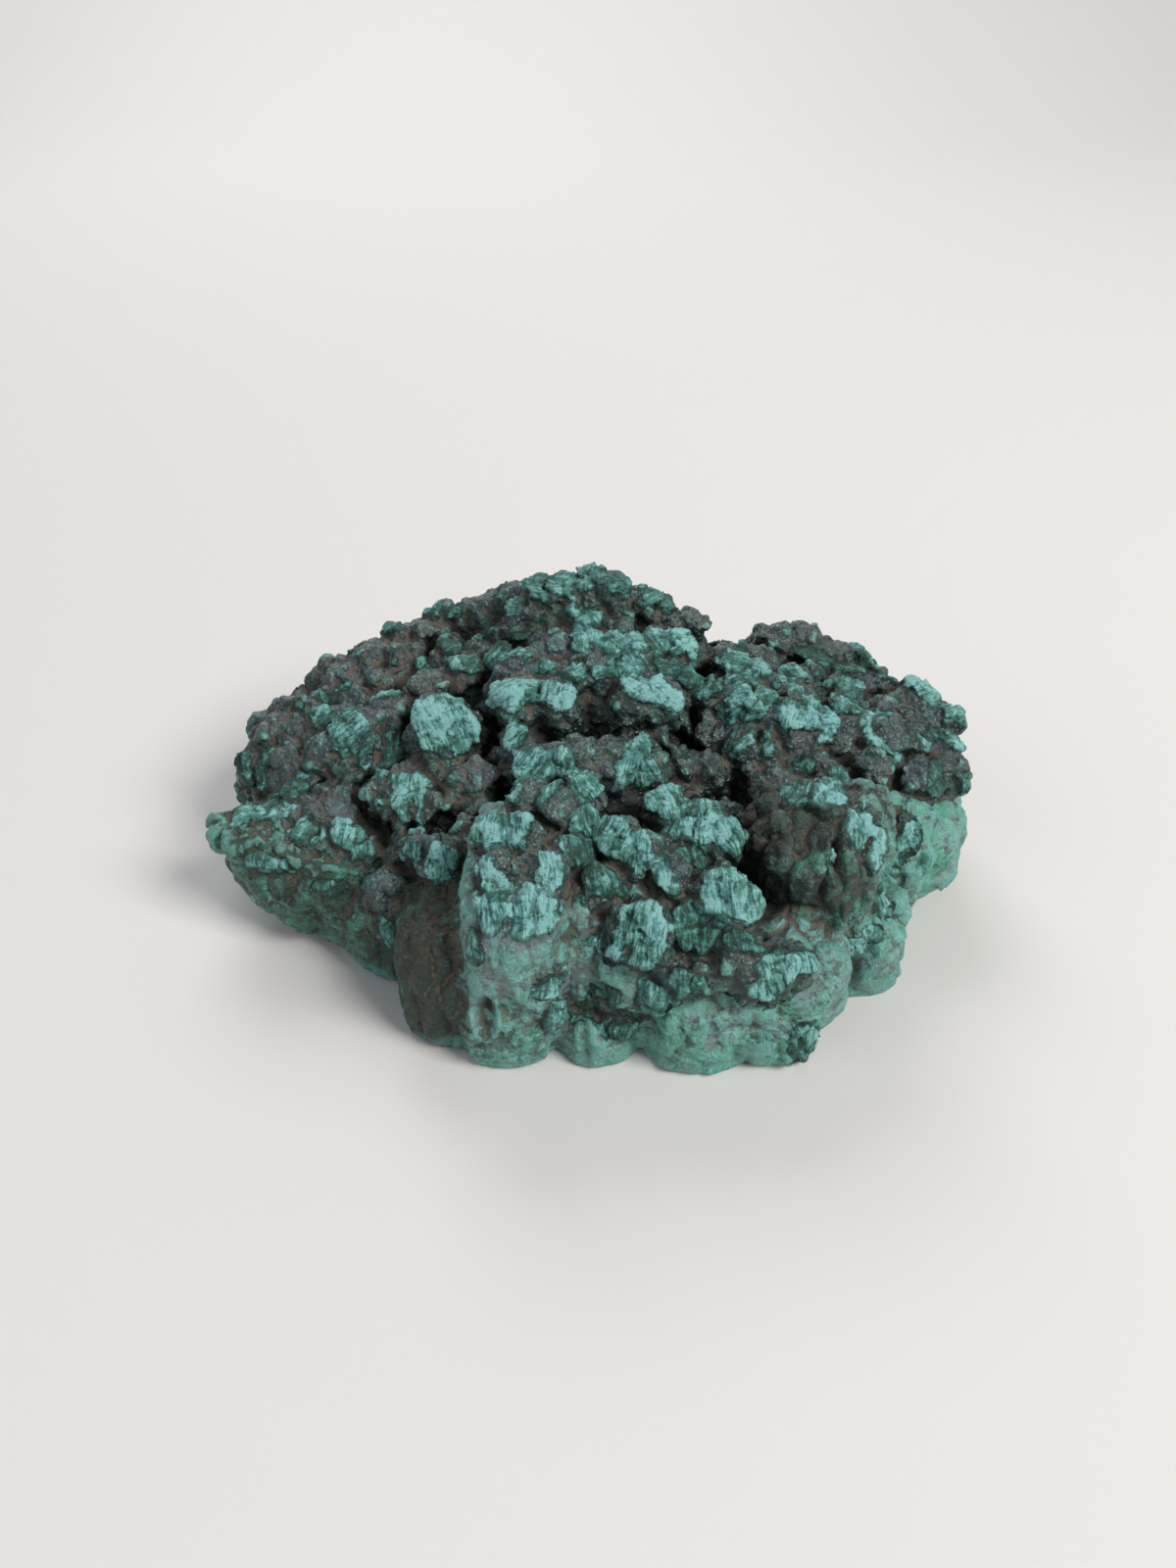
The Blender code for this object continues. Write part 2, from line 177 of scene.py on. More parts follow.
# Hollows in the skin: centre, radii, and depth.
DENTS = {
    "front_oval": ((-27, -58, 19), (3.2, 6.0, 6.4), 2.0),
    "dome_slit": ((57.5, -38, 50), (2.0, 6.0, 6.0), 3.5),
    "ring_middle": ((24.5, -51, 41), (5.5, 5.0, 4.5), 2.8),
    "right_hole": ((82, -5, 31), (5.5, 6.0, 4.5), 4.5),
    "left_hole": ((-37, -13, 39), (8.0, 8.0, 6.0), 5.0),
}

# Smooth noises: size, seed, and strength.
NOISES = {
    "cap_edge": (3.5, 21, 0.25),
    "patch_edge": (3.0, 23, 0.30), "patch_edge_fine": (1.3, 24, 0.15),
    "warp_x": (7.0, 31, 1.4), "warp_y": (7.0, 32, 1.4), "warp_z": (7.0, 33, 1.4),
    "lumpy": (11.0, 47, 1.0), "folds": (np.array((4.0, 4.0, 1.0)), 50, 0.25),
    "wall_grain": (1.3, 54, 0.22),
    "fibre_bend": (6.0, 51, 1.0), "fibre_bend_fine": (2.6, 52, 0.5),
    "dimples": (9.0, 61, 1.0), "dimples_fine": (3.0, 62, 1.0),
    "dust": (16.0, 71, 0.5), "rim": (9.0, 72, 3.0),
}
# Layers of knobs: size, how much they are squeezed along Z to come out taller, depth, and seed.
LAYERS = {
    "flank": (6.6, 1.0, 1.7, 41), "flank_fine": (2.9, 1.0, 0.5, 42),
    "scales": (11.0, 0.62, 1.9, 45), "wall_fine": (3.4, 1.0, 0.8, 48),
    "lobes": (6.5, 0.36, 3.0, 52), "lobes_fine": (2.9, 1.0, 0.8, 53),
}
KNOB_LEVEL = 0.6  # height on a knob that stays where the skin was
# Flat broken faces: size, slope, and seed.
BREAKS = {"wall": (6.0, 0.16, 46), "cap": (6.5, 0.17, 53), "splinters": (2.0, 0.16, 56)}
SPLINTER = (2.6, 0.8, 1.4)  # along the fibres, across them and out
CRACK_CELLS, CRACK_SEED = (8.5, 5.0, 9.0), 54
DISH_SIZE, DISH_SQUEEZE, DISH_DEPTH, DISH_SEED = 17.0, 0.7, 2.2, 44
LEDGE_STEP = 4.6  # from one ledge of a cap to the next
DIMPLE_DEPTH, FINE_DIMPLE_DEPTH = 1.1, 0.4

# Clusters: growth centre, lean of the caps towards the front in degrees, and the columns, each
# as x, y, z and radius of its cap, and how pale the cap is from 0 to 9.
CLUSTERS = {
    "back_crest": ((-4, 34, 10), 20, [
        (-24, 60, 72, 5, 3), (-33, 62, 67, 6.5, 1), (-40, 63, 63, 4.5, 2), (-47, 66, 61, 5, 4),
        (-14, 49, 78, 4.5, 6), (-7, 48, 79, 5, 7), (-1, 47, 79, 4.5, 7), (1, 52, 81, 4, 4),
        (7, 47, 81, 5, 4), (-19, 47, 73, 5.5, 3), (-12, 45, 72, 4.5, 3), (-1, 41, 74, 5.5, 6),
        (8, 39, 73, 4.5, 5), (16, 52, 73, 5, 4), (22, 54, 70, 4.5, 2), (32, 54, 65, 5, 1),
    ]),
    "middle_back": ((0, 14, 5), 35, [
        (-1, 31, 71, 5, 7), (6, 30, 70, 4, 7), (13, 31, 70, 4.5, 7), (20, 35, 69, 4.5, 7),
        (27, 35, 68, 5.5, 9), (3, 23, 68, 4.5, 4), (11, 23, 68, 5, 6), (20, 26, 65, 4, 3),
        (27, 27, 63, 5, 2), (-6, 22, 67, 4.5, 4), (-14, 25, 66, 4.5, 3), (5, 18, 60, 6, 1),
    ]),
    "middle_row": ((-4, 8, 5), 30, [
        (-22, 27, 67, 6, 5), (-22, 18, 66, 6.5, 8), (-9, 16, 65, 6, 8), (13, 13, 67, 5.5, 8),
        (20, 13, 66, 5.5, 9), (-21, 4, 57, 5, 6),
    ]),
    "left_back": ((-48, 22, -5), 25, [
        (-39, 49, 60, 6, 2), (-30, 46, 61, 5, 4), (-34, 38, 60, 5, 4), (-45, 34, 57, 6.5, 1),
        (-56, 54, 57, 6, 1), (-66, 55, 55, 6, 1), (-77, 54, 50, 5, 1), (-58, 63, 57, 6, 2),
        (-50, 64, 59, 6.5, 1), (-70, 60, 52, 6, 3), (-74, 44, 49, 6, 2), (-80, 44, 46, 6, 5),
        (-57, 23, 56, 5.5, 5), (-95, 40, 41, 6.5, 2), (-88, 27, 43, 6, 2), (-94, 21, 38, 5.5, 2),
    ]),
    "left_tall": ((-42, 20, 0), 42, [
        (-39, 12, 58, 9.5, 8), (-67, 16, 52, 8, 6), (-63, 13, 49, 5, 7), (-74, 13, 43, 5.5, 4),
    ]),
    "left_low": ((-44, 8, -5), 35, [
        (-49, 4, 47, 5, 1), (-39, 3, 49, 6, 1), (-30, -2, 50, 6, 0), (-56, -2, 46, 5.5, 5),
        (-49, -5, 46, 7, 6), (-43, -9, 45, 5.5, 6), (-44, -23, 43, 4, 6), (-38, -29, 43, 4.5, 7),
    ]),
    "left_blade": ((-64, 2, -20), 20, [
        (-98, -1, 34, 5, 5), (-90, 1, 36, 5, 5), (-82, 1, 38, 4, 7), (-79, -6, 37, 5, 7),
        (-72, -9, 37, 4, 6), (-65, -11, 38, 4.5, 7), (-60, -14, 36, 4, 5), (-71, 0, 41, 7.5, 1),
        (-83, 9, 39, 6.5, 3),
    ]),
    "left_wing": ((-60, 10, 18), 10, [
        (-75, -16, 20, 5.5, 3), (-65, -17, 20, 4, 2), (-59, -18, 27, 3.5, 5), (-53, -20, 21, 7, 5),
        (-63, -19, 12, 4, 4),
    ]),
    "front_left": ((-14, -16, -10), 30, [
        (-16, -22, 60, 5, 7), (-9, -25, 60, 5, 6), (-1, -23, 59, 5, 6), (-24, -35, 58, 5, 6),
        (-17, -36, 58, 5.5, 6), (-22, -47, 56, 6, 8), (-13, -47, 55, 6, 8), (-2, -30, 56, 4.5, 4),
        (-5, -37, 54, 4.5, 3), (2, -42, 48, 5.5, 3),
    ]),
    "front_middle": ((20, -18, 0), 30, [
        (5, -34, 56, 5.5, 6), (12, -37, 54, 5, 6), (18, -23, 57, 6, 6), (26, -30, 56, 6.5, 6),
        (32, -33, 54, 4.5, 7), (24, -36, 50, 5.5, 3), (18, -42, 50, 5, 7), (31, -49, 47, 8, 8),
        (24, -52, 43, 6.5, 3), (9, -54, 42, 8, 8), (34, -59, 38, 6.5, 2), (20, -60, 32, 4, 6),
        (26, -60, 32, 4, 6), (15, -59, 27, 4.5, 6), (41, -61, 33, 6.5, 4), (48, -59, 34, 5, 7),
        (4, -55, 22, 5, 3), (4, -57, 13, 4.5, 3), (-4, -50, 26, 4.5, 2), (-7, -54, 10, 4.5, 3),
    ]),
    "middle": ((4, -2, 0), 35, [
        (-15, -4, 57, 7, 6), (-5, -4, 58, 7, 6), (6, -3, 57, 7.5, 5), (14, -4, 56, 7, 6),
        (26, 4, 51, 5.5, 1), (27, 0, 47, 5, 1), (34, 3, 48, 5.5, 1),
    ]),
    "right": ((64, 8, -4), 25, [
        (39, 34, 62, 5, 6), (45, 31, 61, 4.5, 7), (38, 27, 59, 4, 6), (44, 27, 58, 3.5, 6),
        (50, 28, 58, 4.5, 6), (57, 33, 58, 5, 5), (31, 23, 60, 4, 5), (57, 24, 57, 4.5, 7),
        (55, 15, 57, 6.5, 7), (62, 15, 55, 5, 7), (60, 10, 53, 3.5, 8), (72, 34, 54, 6, 5),
        (72, 27, 53, 6, 5), (76, 20, 51, 5.5, 6), (80, 12, 50, 6, 8), (87, 25, 49, 5, 8),
        (95, 33, 52, 5.5, 8), (90, 17, 47, 5.5, 7), (101, 19, 44, 5.5, 7), (102, 28, 48, 5, 6),
        (38, 21, 59, 5.5, 8), (44, 18, 58, 5.5, 8), (39, 8, 51, 5, 6), (51, 10, 49, 7, 1),
        (58, 8, 47, 6, 1), (41, 7, 45, 4.5, 1), (46, 8, 46, 4.5, 1), (64, 8, 45, 6, 1), (72, 9, 44, 6, 1),
        (78, 6, 42, 5.5, 1), (87, 11, 41, 6, 2), (97, 17, 38, 6, 3),
    ]),
    "dome": ((55, -18, 10), 15, [
        (52, -22, 58, 5.5, 3), (59, -24, 58, 5, 5), (66, -20, 53, 4.5, 5), (48, -36, 30, 5, 1),
        (57, -36, 28, 5, 1), (62, -36, 23, 4.5, 1), (52, -38, 24, 4.5, 1),
    ]),
    "right_back": ((60, 46, 5), 15, [
        (55, 60, 57, 6.5, 1), (63, 59, 56.5, 6, 1), (71, 57, 53, 7.5, 1), (79, 56, 49, 5.5, 2),
    ]),
}


# ---- Forms

def unit_ball(detail):
    """Points and triangles of a ball of radius 1."""
    form = bmesh.new()
    bmesh.ops.create_icosphere(form, subdivisions=detail, radius=1.0)
    points = np.array([vertex.co[:] for vertex in form.verts])
    faces = np.array([[vertex.index for vertex in face.verts] for face in form.faces])
    form.free()
    return points / np.linalg.norm(points, axis=1, keepdims=True), faces


def turn_of(tilts):
    """Rotation matrix of a body's tilts."""
    return np.array(Euler([math.radians(angle) for angle in tilts]).to_matrix())


def squared(points, power):
    """Points of the unit ball moved to a squarer ball of the same half width."""
    total = (np.abs(points) ** power).sum(-1, keepdims=True)
    return points / total ** (1.0 / power)


def swelling(points, seed):
    """Smooth irregularity between about -1 and 1 at places in millimetres."""
    shift = seed * SWELLING_SHIFT
    wide = (points / ROUGHNESS_SCALE + shift).tolist()
    fine = (points / ROUGHNESS_SCALE * FINER + shift * FINER).tolist()
    return np.array([noise.noise(a) + 0.5 * noise.noise(b) for a, b in zip(wide, fine)])


def body_points(body, seed, ball):
    """Skin of a smooth body form."""
    turn = turn_of(body.tilts)
    place = (squared(ball, body.squareness) * body.radii) @ turn.T + body.centre
    depth = ROUGHNESS_DEPTH * min(body.radii) * 0.5
    return place + (ball @ turn.T) * (depth * swelling(place, seed))[:, None]


class Column:
    """One column: where its cap is, which way it grew, and how its cap broke."""

    def __init__(self, top, radius, root, lean, paleness, draw, chip):
        self.top = np.array(top, float)
        self.radius = radius
        self.paleness = paleness
        axis = (Vector(top) - Vector(root)).normalized()
        across = FRONT.cross(axis)
        across = axis.cross(Vector((1, 0, 0))) if across.length < 0.1 else across
        across.normalize()
        tipped = axis + FRONT * math.tan(math.radians(lean)) * 0.5
        tipped += Vector([draw.uniform(-CAP_TIP, CAP_TIP) for _ in range(3)])
        self.axis = np.array(axis)
        self.side = np.array(across)
        self.other = np.array(axis.cross(across))
        self.normal = np.array(tipped.normalized())
        self.length = COLUMN_LENGTH * radius + COLUMN_EXTRA
        self.lobes = draw.choice(LOBE_COUNTS)
        self.lobe_way = draw.uniform(0.0, math.tau)
        self.lobe_depth = draw.uniform(*LOBE_DEPTH)
        self.seed = draw.uniform(0.0, 20.0)
        self.crown = CAP_THICKNESS * radius
        self.centre = self.top - self.axis * self.crown
        self.facets = [self.facet(chip, number) for number in range(SIDE_FACETS + TOP_FACETS)]
        self.cap_floor = chip.uniform(*CAP_FLOOR)
        cut = self.outward(chip.uniform(0.0, math.tau)) + CUT_LEAN
        self.cut = cut / np.linalg.norm(cut)
        self.cut_at = chip.uniform(*CUT_AT) - 0.8 * max(0.0, paleness - 0.55)

    def outward(self, angle):
        """The way out of the column at an angle around its axis."""
        return self.side * math.cos(angle) + self.other * math.sin(angle)

    def facet(self, chip, number):
        """A flat broken face: its direction and its distance from the cap's centre."""
        on_top = number >= SIDE_FACETS
        tilt = math.radians(chip.uniform(*(TOP_TILT if on_top else SIDE_TILT)))
        if on_top:
            angle = chip.uniform(0.0, math.tau)
        else:
            angle = (number + chip.uniform(-UNEVEN, UNEVEN)) * math.tau / SIDE_FACETS
        out = self.outward(angle)
        out = out - self.normal * (out @ self.normal)
        out /= np.linalg.norm(out)
        normal = self.normal * math.cos(tilt) + out * math.sin(tilt)
        wide = 0.25 if on_top else 1.0
        reach = self.radius * math.sin(tilt) * wide + self.crown * math.cos(tilt)
        return normal, reach * chip.uniform(*FACET_REACH)

    def widening(self, low):
        """Width of the shaft under the cap, for low from 0 at the cap to -1 at the foot."""
        return np.sqrt(1.0 - low**4) * (1.0 + (1.0 - COLUMN_FOOT) * low)

    def rim(self, angle):
        """Radius of the cap's outline, by the angle around the axis."""
        return self.radius * (1.0 + self.lobe_depth * np.cos(self.lobes * angle + self.lobe_way))

    def points(self, ball):
        """Skin of the column."""
        angle = np.arctan2(ball[:, 1], ball[:, 0])
        rise = ball[:, 2]
        high = np.clip(rise, 0.0, 1.0)
        low = np.clip(rise, -1.0, 0.0)
        cap = (1.0 - high**CAP_SQUARENESS) ** (1.0 / CAP_SQUARENESS)
        width = cap * self.widening(low) * self.rim(angle)
        height = self.crown * (high - 1.0) + self.length * low
        spread = np.outer(np.cos(angle), self.side) + np.outer(np.sin(angle), self.other)
        near_cap = np.clip(1.0 + 2.0 * low, 0.0, None)
        slope = spread @ self.normal / max(0.5, self.axis @ self.normal)
        height -= near_cap * width * slope
        place = self.top + np.outer(height, self.axis) + spread * width[:, None]
        for normal, reach in self.facets:
            over = np.maximum((place - self.centre) @ normal - reach, 0.0)
            place -= over[:, None] * normal
        rough = self.radius * ROUGHNESS_DEPTH * swelling(place, self.seed)
        return place + spread * rough[:, None]

    def knobs(self, ball, draw):
        """Skins of the round knobs around the column's flank."""
        made = []
        least, most = KNOB_SIZES
        for row in range(KNOB_ROWS):
            low = -(KNOB_START + KNOB_STEP * row) - draw.uniform(0.0, KNOB_DROP)
            count = draw.choice(KNOB_COUNTS)
            for number in range(count):
                step = number + draw.uniform(-UNEVEN, UNEVEN) + 0.5 * (row % 2)
                angle = step * math.tau / count
                size = min(most, max(least, self.radius * draw.uniform(*KNOB_SHARE)))
                out = self.outward(angle)
                wide = self.rim(angle) * self.widening(low) - size * KNOB_SINK
                slope = self.radius * (out @ self.normal) * max(0.0, 1.0 + 2.0 * low)
                place = self.top + self.axis * (self.length * low - self.crown - slope) + out * wide
                stretch = 1.0 + draw.uniform(0.0, KNOB_STRETCH) * np.abs(self.axis)
                made.append(place + ball * size * stretch)
        return made

    def measure(self, points):
        """Signed distance to the column's skin and height over its tilted cap, roughly."""
        away = points - self.top
        along = away @ self.axis
        across = away - np.outer(along, self.axis)
        reach = np.linalg.norm(across, axis=1)
        angle = np.arctan2(across @ self.other, across @ self.side)
        height = away @ self.normal / max(0.5, self.axis @ self.normal)
        rim = self.rim(angle)
        low = np.clip((height + self.crown) / self.length, -1.0, 0.0)
        inner = np.clip(reach / rim, 0.0, 1.0)
        dome = self.crown * ((1.0 - inner**CAP_SQUARENESS) ** (1.0 / CAP_SQUARENESS) - 1.0)
        above = np.maximum(height - dome, reach - rim)
        signed = np.where(height > -self.crown, above, reach - rim * self.widening(low))
        for normal, far in self.facets:
            signed = np.maximum(signed, (points - self.centre) @ normal - far)
        return signed, height


def inside_share(points, body):
    """How far out in a body places lie: 0 at its centre, 1 on its skin."""
    local = (points - body.centre) @ turn_of(body.tilts) / body.radii
    return (np.abs(local) ** body.squareness).sum(-1) ** (1.0 / body.squareness)


def fill_places(name, draw):
    """Evenly spread places on a mound's skin that no other mound or wall covers."""
    body = MOUNDS[name]
    turn = turn_of(body.tilts)
    a, b, c = body.radii
    mean = (a * b + b * c + a * c) / 3
    count = round(4 * math.pi * mean / (FILL_PACKING * FILL_SPACING**2))
    others = [form for other, form in {**MOUNDS, **WALLS}.items() if other != name]
    for number in range(count):
        rise = 1.0 - (2.0 * number + 1.0) / count
        angle = number * math.pi * (3.0 - math.sqrt(5.0))
        wide = math.sqrt(1.0 - rise * rise)
        way = Vector((wide * math.cos(angle), wide * math.sin(angle), rise))
        way += Vector([draw.uniform(-FILL_JITTER, FILL_JITTER) for _ in range(3)])
        way = np.array(way.normalized())
        place = (squared(way, body.squareness) * body.radii) @ turn.T + body.centre
        covered = any(inside_share(place, form) < FILL_BURIED for form in others)
        if place[2] > FILL_LOWEST and not covered:
            yield place, way @ turn.T


def all_columns():
    """The named columns, then the filling ones between them."""
    made = []
    for number, (root, lean, caps) in enumerate(CLUSTERS.values()):
        draw = random.Random(CLUSTER_SEED + number)
        for x, y, z, radius, pale in caps:
            chip = random.Random(CHIP_SEED + len(made))
            made.append(Column((x, y, z), radius, root, lean, pale / 9.0, draw, chip))
    draw = random.Random(FILL_SEED)
    pales = random.Random(PALE_SEED)
    right, front, high = BARE_RIGHT
    for name, mound in MOUNDS.items():
        for place, outward in fill_places(name, draw):
            radius = draw.uniform(*FILL_RADIUS)
            top = place + outward * draw.uniform(*FILL_RISE)
            root = np.array(mound.centre) * 0.5 + (place - outward * FILL_DEPTH) * 0.5
            behind = place[1] > BACK_FROM or place[2] < LOW_BELOW
            pale = pales.random() ** 1.5 * (BACK_PALENESS if behind else FILL_PALENESS)
            chip = random.Random(CHIP_SEED + len(made))
            column = Column(top, radius, root, 0, pale, draw, chip)
            if not (place[0] > right and place[1] < front and place[2] < high):
                made.append(column)
    return made


# ---- Noise on arrays

HASH_PRIMES = (73856093, 19349663, 83492791)
HASH_STEP, HASH_START, HASH_MIX, HASH_MASK = 7919, 12345, 0x45D9F3B, 0xFFFFFFFF
HASH_RANGE = 0x1000000
SPOT_MARGIN, SPOT_SPAN = 0.15, 0.7  # where in its cell a spot may lie
KNOB_CREASE = 0.55  # width of the slope from a crease up to a knob, in cells


def hashed(cells, seed):
    """A value from 0 to 1 for each whole-numbered cell."""
    key = cells.astype(np.int64) * HASH_PRIMES
    mixed = key[..., 0] ^ key[..., 1] ^ key[..., 2]
    mixed = (mixed + seed * HASH_STEP + HASH_START) & HASH_MASK
    for _ in range(2):
        mixed = (mixed ^ (mixed >> 16)) * HASH_MIX & HASH_MASK
    return ((mixed ^ (mixed >> 16)) & (HASH_RANGE - 1)) / float(HASH_RANGE)


def soft_noise(points, seed):
    """Smooth noise from -1 to 1 with features one unit wide."""
    base = np.floor(points)
    part = points - base
    part = part * part * (3.0 - 2.0 * part)
    total = np.zeros(len(points))
    for corner in np.ndindex(2, 2, 2):
        weight = np.prod(np.where(corner, part, 1.0 - part), axis=1)
        total += weight * hashed(base + corner, seed)
    return total * 2.0 - 1.0


def cloud(name, points):
    """One of the named noises, at its strength."""
    size, seed, strength = NOISES[name]
    return strength * soft_noise(points / size, seed)


def cells(points, seed):
    """Nearest and second nearest distance to scattered spots, and the nearest's way and values."""
    base = np.floor(points)
    first = np.full(len(points), 9.0)
    second = first.copy()
    way = np.zeros((len(points), 3))
    values = np.zeros((len(points), 3))
    for step in np.ndindex(3, 3, 3):
        cell = base + (np.array(step) - 1)
        spot = np.stack([hashed(cell, seed + number) for number in (1, 2, 3)], axis=1)
        away = points - cell - SPOT_MARGIN - SPOT_SPAN * spot
        gap = np.linalg.norm(away, axis=1)
        nearer = gap < first
        second = np.where(nearer, first, np.minimum(second, gap))
        way[nearer] = away[nearer]
        values[nearer] = spot[nearer]
        first = np.minimum(first, gap)
    return first, second, way, values


def smooth_step(low, high, values):
    """0 up to low, 1 from high on, and a smooth ramp between."""
    share = np.clip((values - low) / (high - low), 0.0, 1.0)
    return share * share * (3.0 - 2.0 * share)


def layer(name, points, share=1.0):
    """Relief of one layer of close round knobs with sharp creases, and a value for each knob."""
    size, squeeze, depth, seed = LAYERS[name]
    first, second, _, values = cells(points * (1.0, 1.0, squeeze) / size, seed)
    edge = np.clip((second - first) / KNOB_CREASE, 0.0, 1.0)
    height = (1.0 - (1.0 - edge) ** 2) * (0.6 + 0.4 * values[:, 0])
    return depth * share * (height - KNOB_LEVEL), values[:, 2]


def broken(name, points):
    """Relief of flat broken faces that tilt at random, and a value for each face."""
    size, slope, seed = BREAKS[name]
    _, _, way, values = cells(points / size, seed)
    height = slope * ((way * (2.0 * values - 1.0)).sum(1) + 0.6 * (values[:, 1] - 0.5)) * size
    return height, values[:, 2]


def dishes(points):
    """Relief of shallow dishes with sharp ridges between them."""
    first, second, _, _ = cells(points * (1.0, 1.0, DISH_SQUEEZE) / DISH_SIZE, DISH_SEED)
    height = (first / np.maximum(first + second, 1e-6) * 2.0) ** 2
    return DISH_DEPTH * (height - 0.5)


# ---- Skin

def mesh_from(points, faces, name):
    """A mesh from an array of points in metres and one of faces with the same number of corners."""
    mesh = bpy.data.meshes.new(name)
    mesh.vertices.add(len(points))
    mesh.vertices.foreach_set("co", points.astype(np.float32).ravel())
    size = faces.shape[1]
    mesh.loops.add(faces.size)
    mesh.loops.foreach_set("vertex_index", faces.astype(np.int32).ravel())
    mesh.polygons.add(len(faces))
    mesh.polygons.foreach_set("loop_start", np.arange(0, faces.size, size, dtype=np.int32))
    mesh.update(calc_edges=True)
    return mesh


def arrays_of(mesh):
    """Points in millimetres, outward normals and edges of a mesh."""
    count = len(mesh.vertices)
    points = np.empty(count * 3, np.float32)
    mesh.vertices.foreach_get("co", points)
    normals = np.empty(count * 3, np.float32)
    mesh.vertices.foreach_get("normal", normals)
    edges = np.empty(len(mesh.edges) * 2, np.int32)
    mesh.edges.foreach_get("vertices", edges)
    points = points.reshape(-1, 3).astype(float) / MM
    return points, normals.reshape(-1, 3).astype(float), edges.reshape(-1, 2)


def with_modifier(mesh, kind, settings):
    """The mesh after one modifier."""
    thing = bpy.data.objects.new("scratch", mesh)
    bpy.context.scene.collection.objects.link(thing)
    made = thing.modifiers.new("step", kind)
    for key, value in settings.items():
        setattr(made, key, value)
    graph = bpy.context.evaluated_depsgraph_get()
    graph.update()
    result = bpy.data.meshes.new_from_object(thing.evaluated_get(graph))
    bpy.data.objects.remove(thing, do_unlink=True)
    bpy.data.meshes.remove(mesh)
    return result


def islands(count, edges):
    """A number for each point that is the same all over its connected piece."""
    label = np.arange(count)
    while True:
        low = np.minimum(label[edges[:, 0]], label[edges[:, 1]])
        new = label.copy()
        np.minimum.at(new, edges[:, 0], low)
        np.minimum.at(new, edges[:, 1], low)
        new = new[new]
        new = new[new]
        if (new == label).all():
            return label
        label = new


def largest_piece(mesh):
    """The mesh without the closed pockets inside it."""
    points, _, edges = arrays_of(mesh)
    label = islands(len(points), edges)
    keep = label == np.bincount(label).argmax()
    if keep.all():
        return mesh
    quads = np.empty(len(mesh.loops), np.int32)
    mesh.loops.foreach_get("vertex_index", quads)
    quads = quads.reshape(-1, 4)
    new_index = np.cumsum(keep) - 1
    quads = new_index[quads[keep[quads[:, 0]]]]
    bpy.data.meshes.remove(mesh)
    return mesh_from(points[keep] * MM, quads, "skin")


def fused_skin(columns):
    """One closed skin around all the forms, flat where it rests."""
    ball, faces = unit_ball(FORM_DETAIL)
    small_ball, small_faces = unit_ball(KNOB_DETAIL)
    bodies = [
        mound._replace(radii=[radius - MOUND_SHRINK for radius in mound.radii])
        for mound in MOUNDS.values()
    ]
    bodies += ALL_WALLS.values()
    sheets = [body_points(body, seed, ball) for seed, body in enumerate(bodies)]
    sheets += [column.points(ball) for column in columns]
    triangles = [faces] * len(sheets)
    draw = random.Random(KNOB_SEED)
    for column in columns:
        made = column.knobs(small_ball, draw)
        sheets += made
        triangles += [small_faces] * len(made)
    starts = np.cumsum([0] + [len(sheet) for sheet in sheets[:-1]])
    points = np.concatenate(sheets)
    points[:, 2] = np.maximum(points[:, 2], 0.0)
    all_faces = np.concatenate([part + start for part, start in zip(triangles, starts)])
    mesh = mesh_from(points * MM, all_faces, "forms")
    mesh = with_modifier(mesh, "REMESH", {"mode": "VOXEL", "voxel_size": VOXEL * MM})
    return largest_piece(mesh)


def smoothed(values, edges, rounds):
    """Values averaged with their neighbours a number of times."""
    count = len(values)
    ends = np.concatenate([edges[:, 0], edges[:, 1]])
    others = np.concatenate([edges[:, 1], edges[:, 0]])
    share = 1.0 / np.maximum(np.bincount(ends, minlength=count), 1)
    for _ in range(rounds):
        sums = [np.bincount(ends, values[others, k], count) for k in range(values.shape[1])]
        values = 0.5 * values + 0.5 * np.stack(sums, axis=1) * share[:, None]
    return values


def unit(vectors):
    """Vectors scaled to length 1."""
    return vectors / np.maximum(np.linalg.norm(vectors, axis=1, keepdims=True), 1e-9)


def from_skin(points, body):
    """How far places lie from a body's skin, in millimetres, roughly."""
    return np.abs(inside_share(points, body) - 1.0) * min(body.radii)


def belonging(points, normals, columns):
    """What each place is: how much cap, wall and paleness it has, and its fibre directions."""
    count = len(points)
    up = np.array((0.0, 0.0, 1.0))
    what = {
        "cap": np.zeros(count), "pale": np.zeros(count), "wall": np.zeros(count),
        "owner": np.full(count, -1), "along": np.tile(up, (count, 1)), "facing": normals.copy(),
    }
    nearest = np.full(count, 2.5)
    for number, column in enumerate(columns):
        middle = column.top - column.axis * column.length * 0.4
        reach = column.length * 0.5 + column.radius * 1.3
        close = np.flatnonzero(((points - middle) ** 2).sum(1) < reach**2)
        signed, height = column.measure(points[close])
        better = np.abs(signed) < nearest[close]
        rows = close[better]
        nearest[rows] = np.abs(signed[better])
        drop = height[better] / column.radius
        what["cap"][rows] = cap_share(points[rows], normals[rows], column, drop)
        what["pale"][rows] = column.paleness
        what["owner"][rows] = number
        down = 0.6 * column.axis * (1, 1, 0) - up
        down = down - column.normal * (down @ column.normal)
        what["along"][rows] = down / max(np.linalg.norm(down), 1e-6)
        what["facing"][rows] = column.normal
    wall = what["wall"]
    for body in ALL_WALLS.values():
        np.maximum(wall, 1.0 - smooth_step(0.8, 2.0, from_skin(points, body)), out=wall)
    owned = what["owner"] >= 0
    wall[owned] *= smooth_step(0.8, 1.8, nearest[owned])
    what["cap"] *= 1.0 - wall
    add_patches(points, what, len(columns))
    what["look"] = wall_looks(points)
    return what


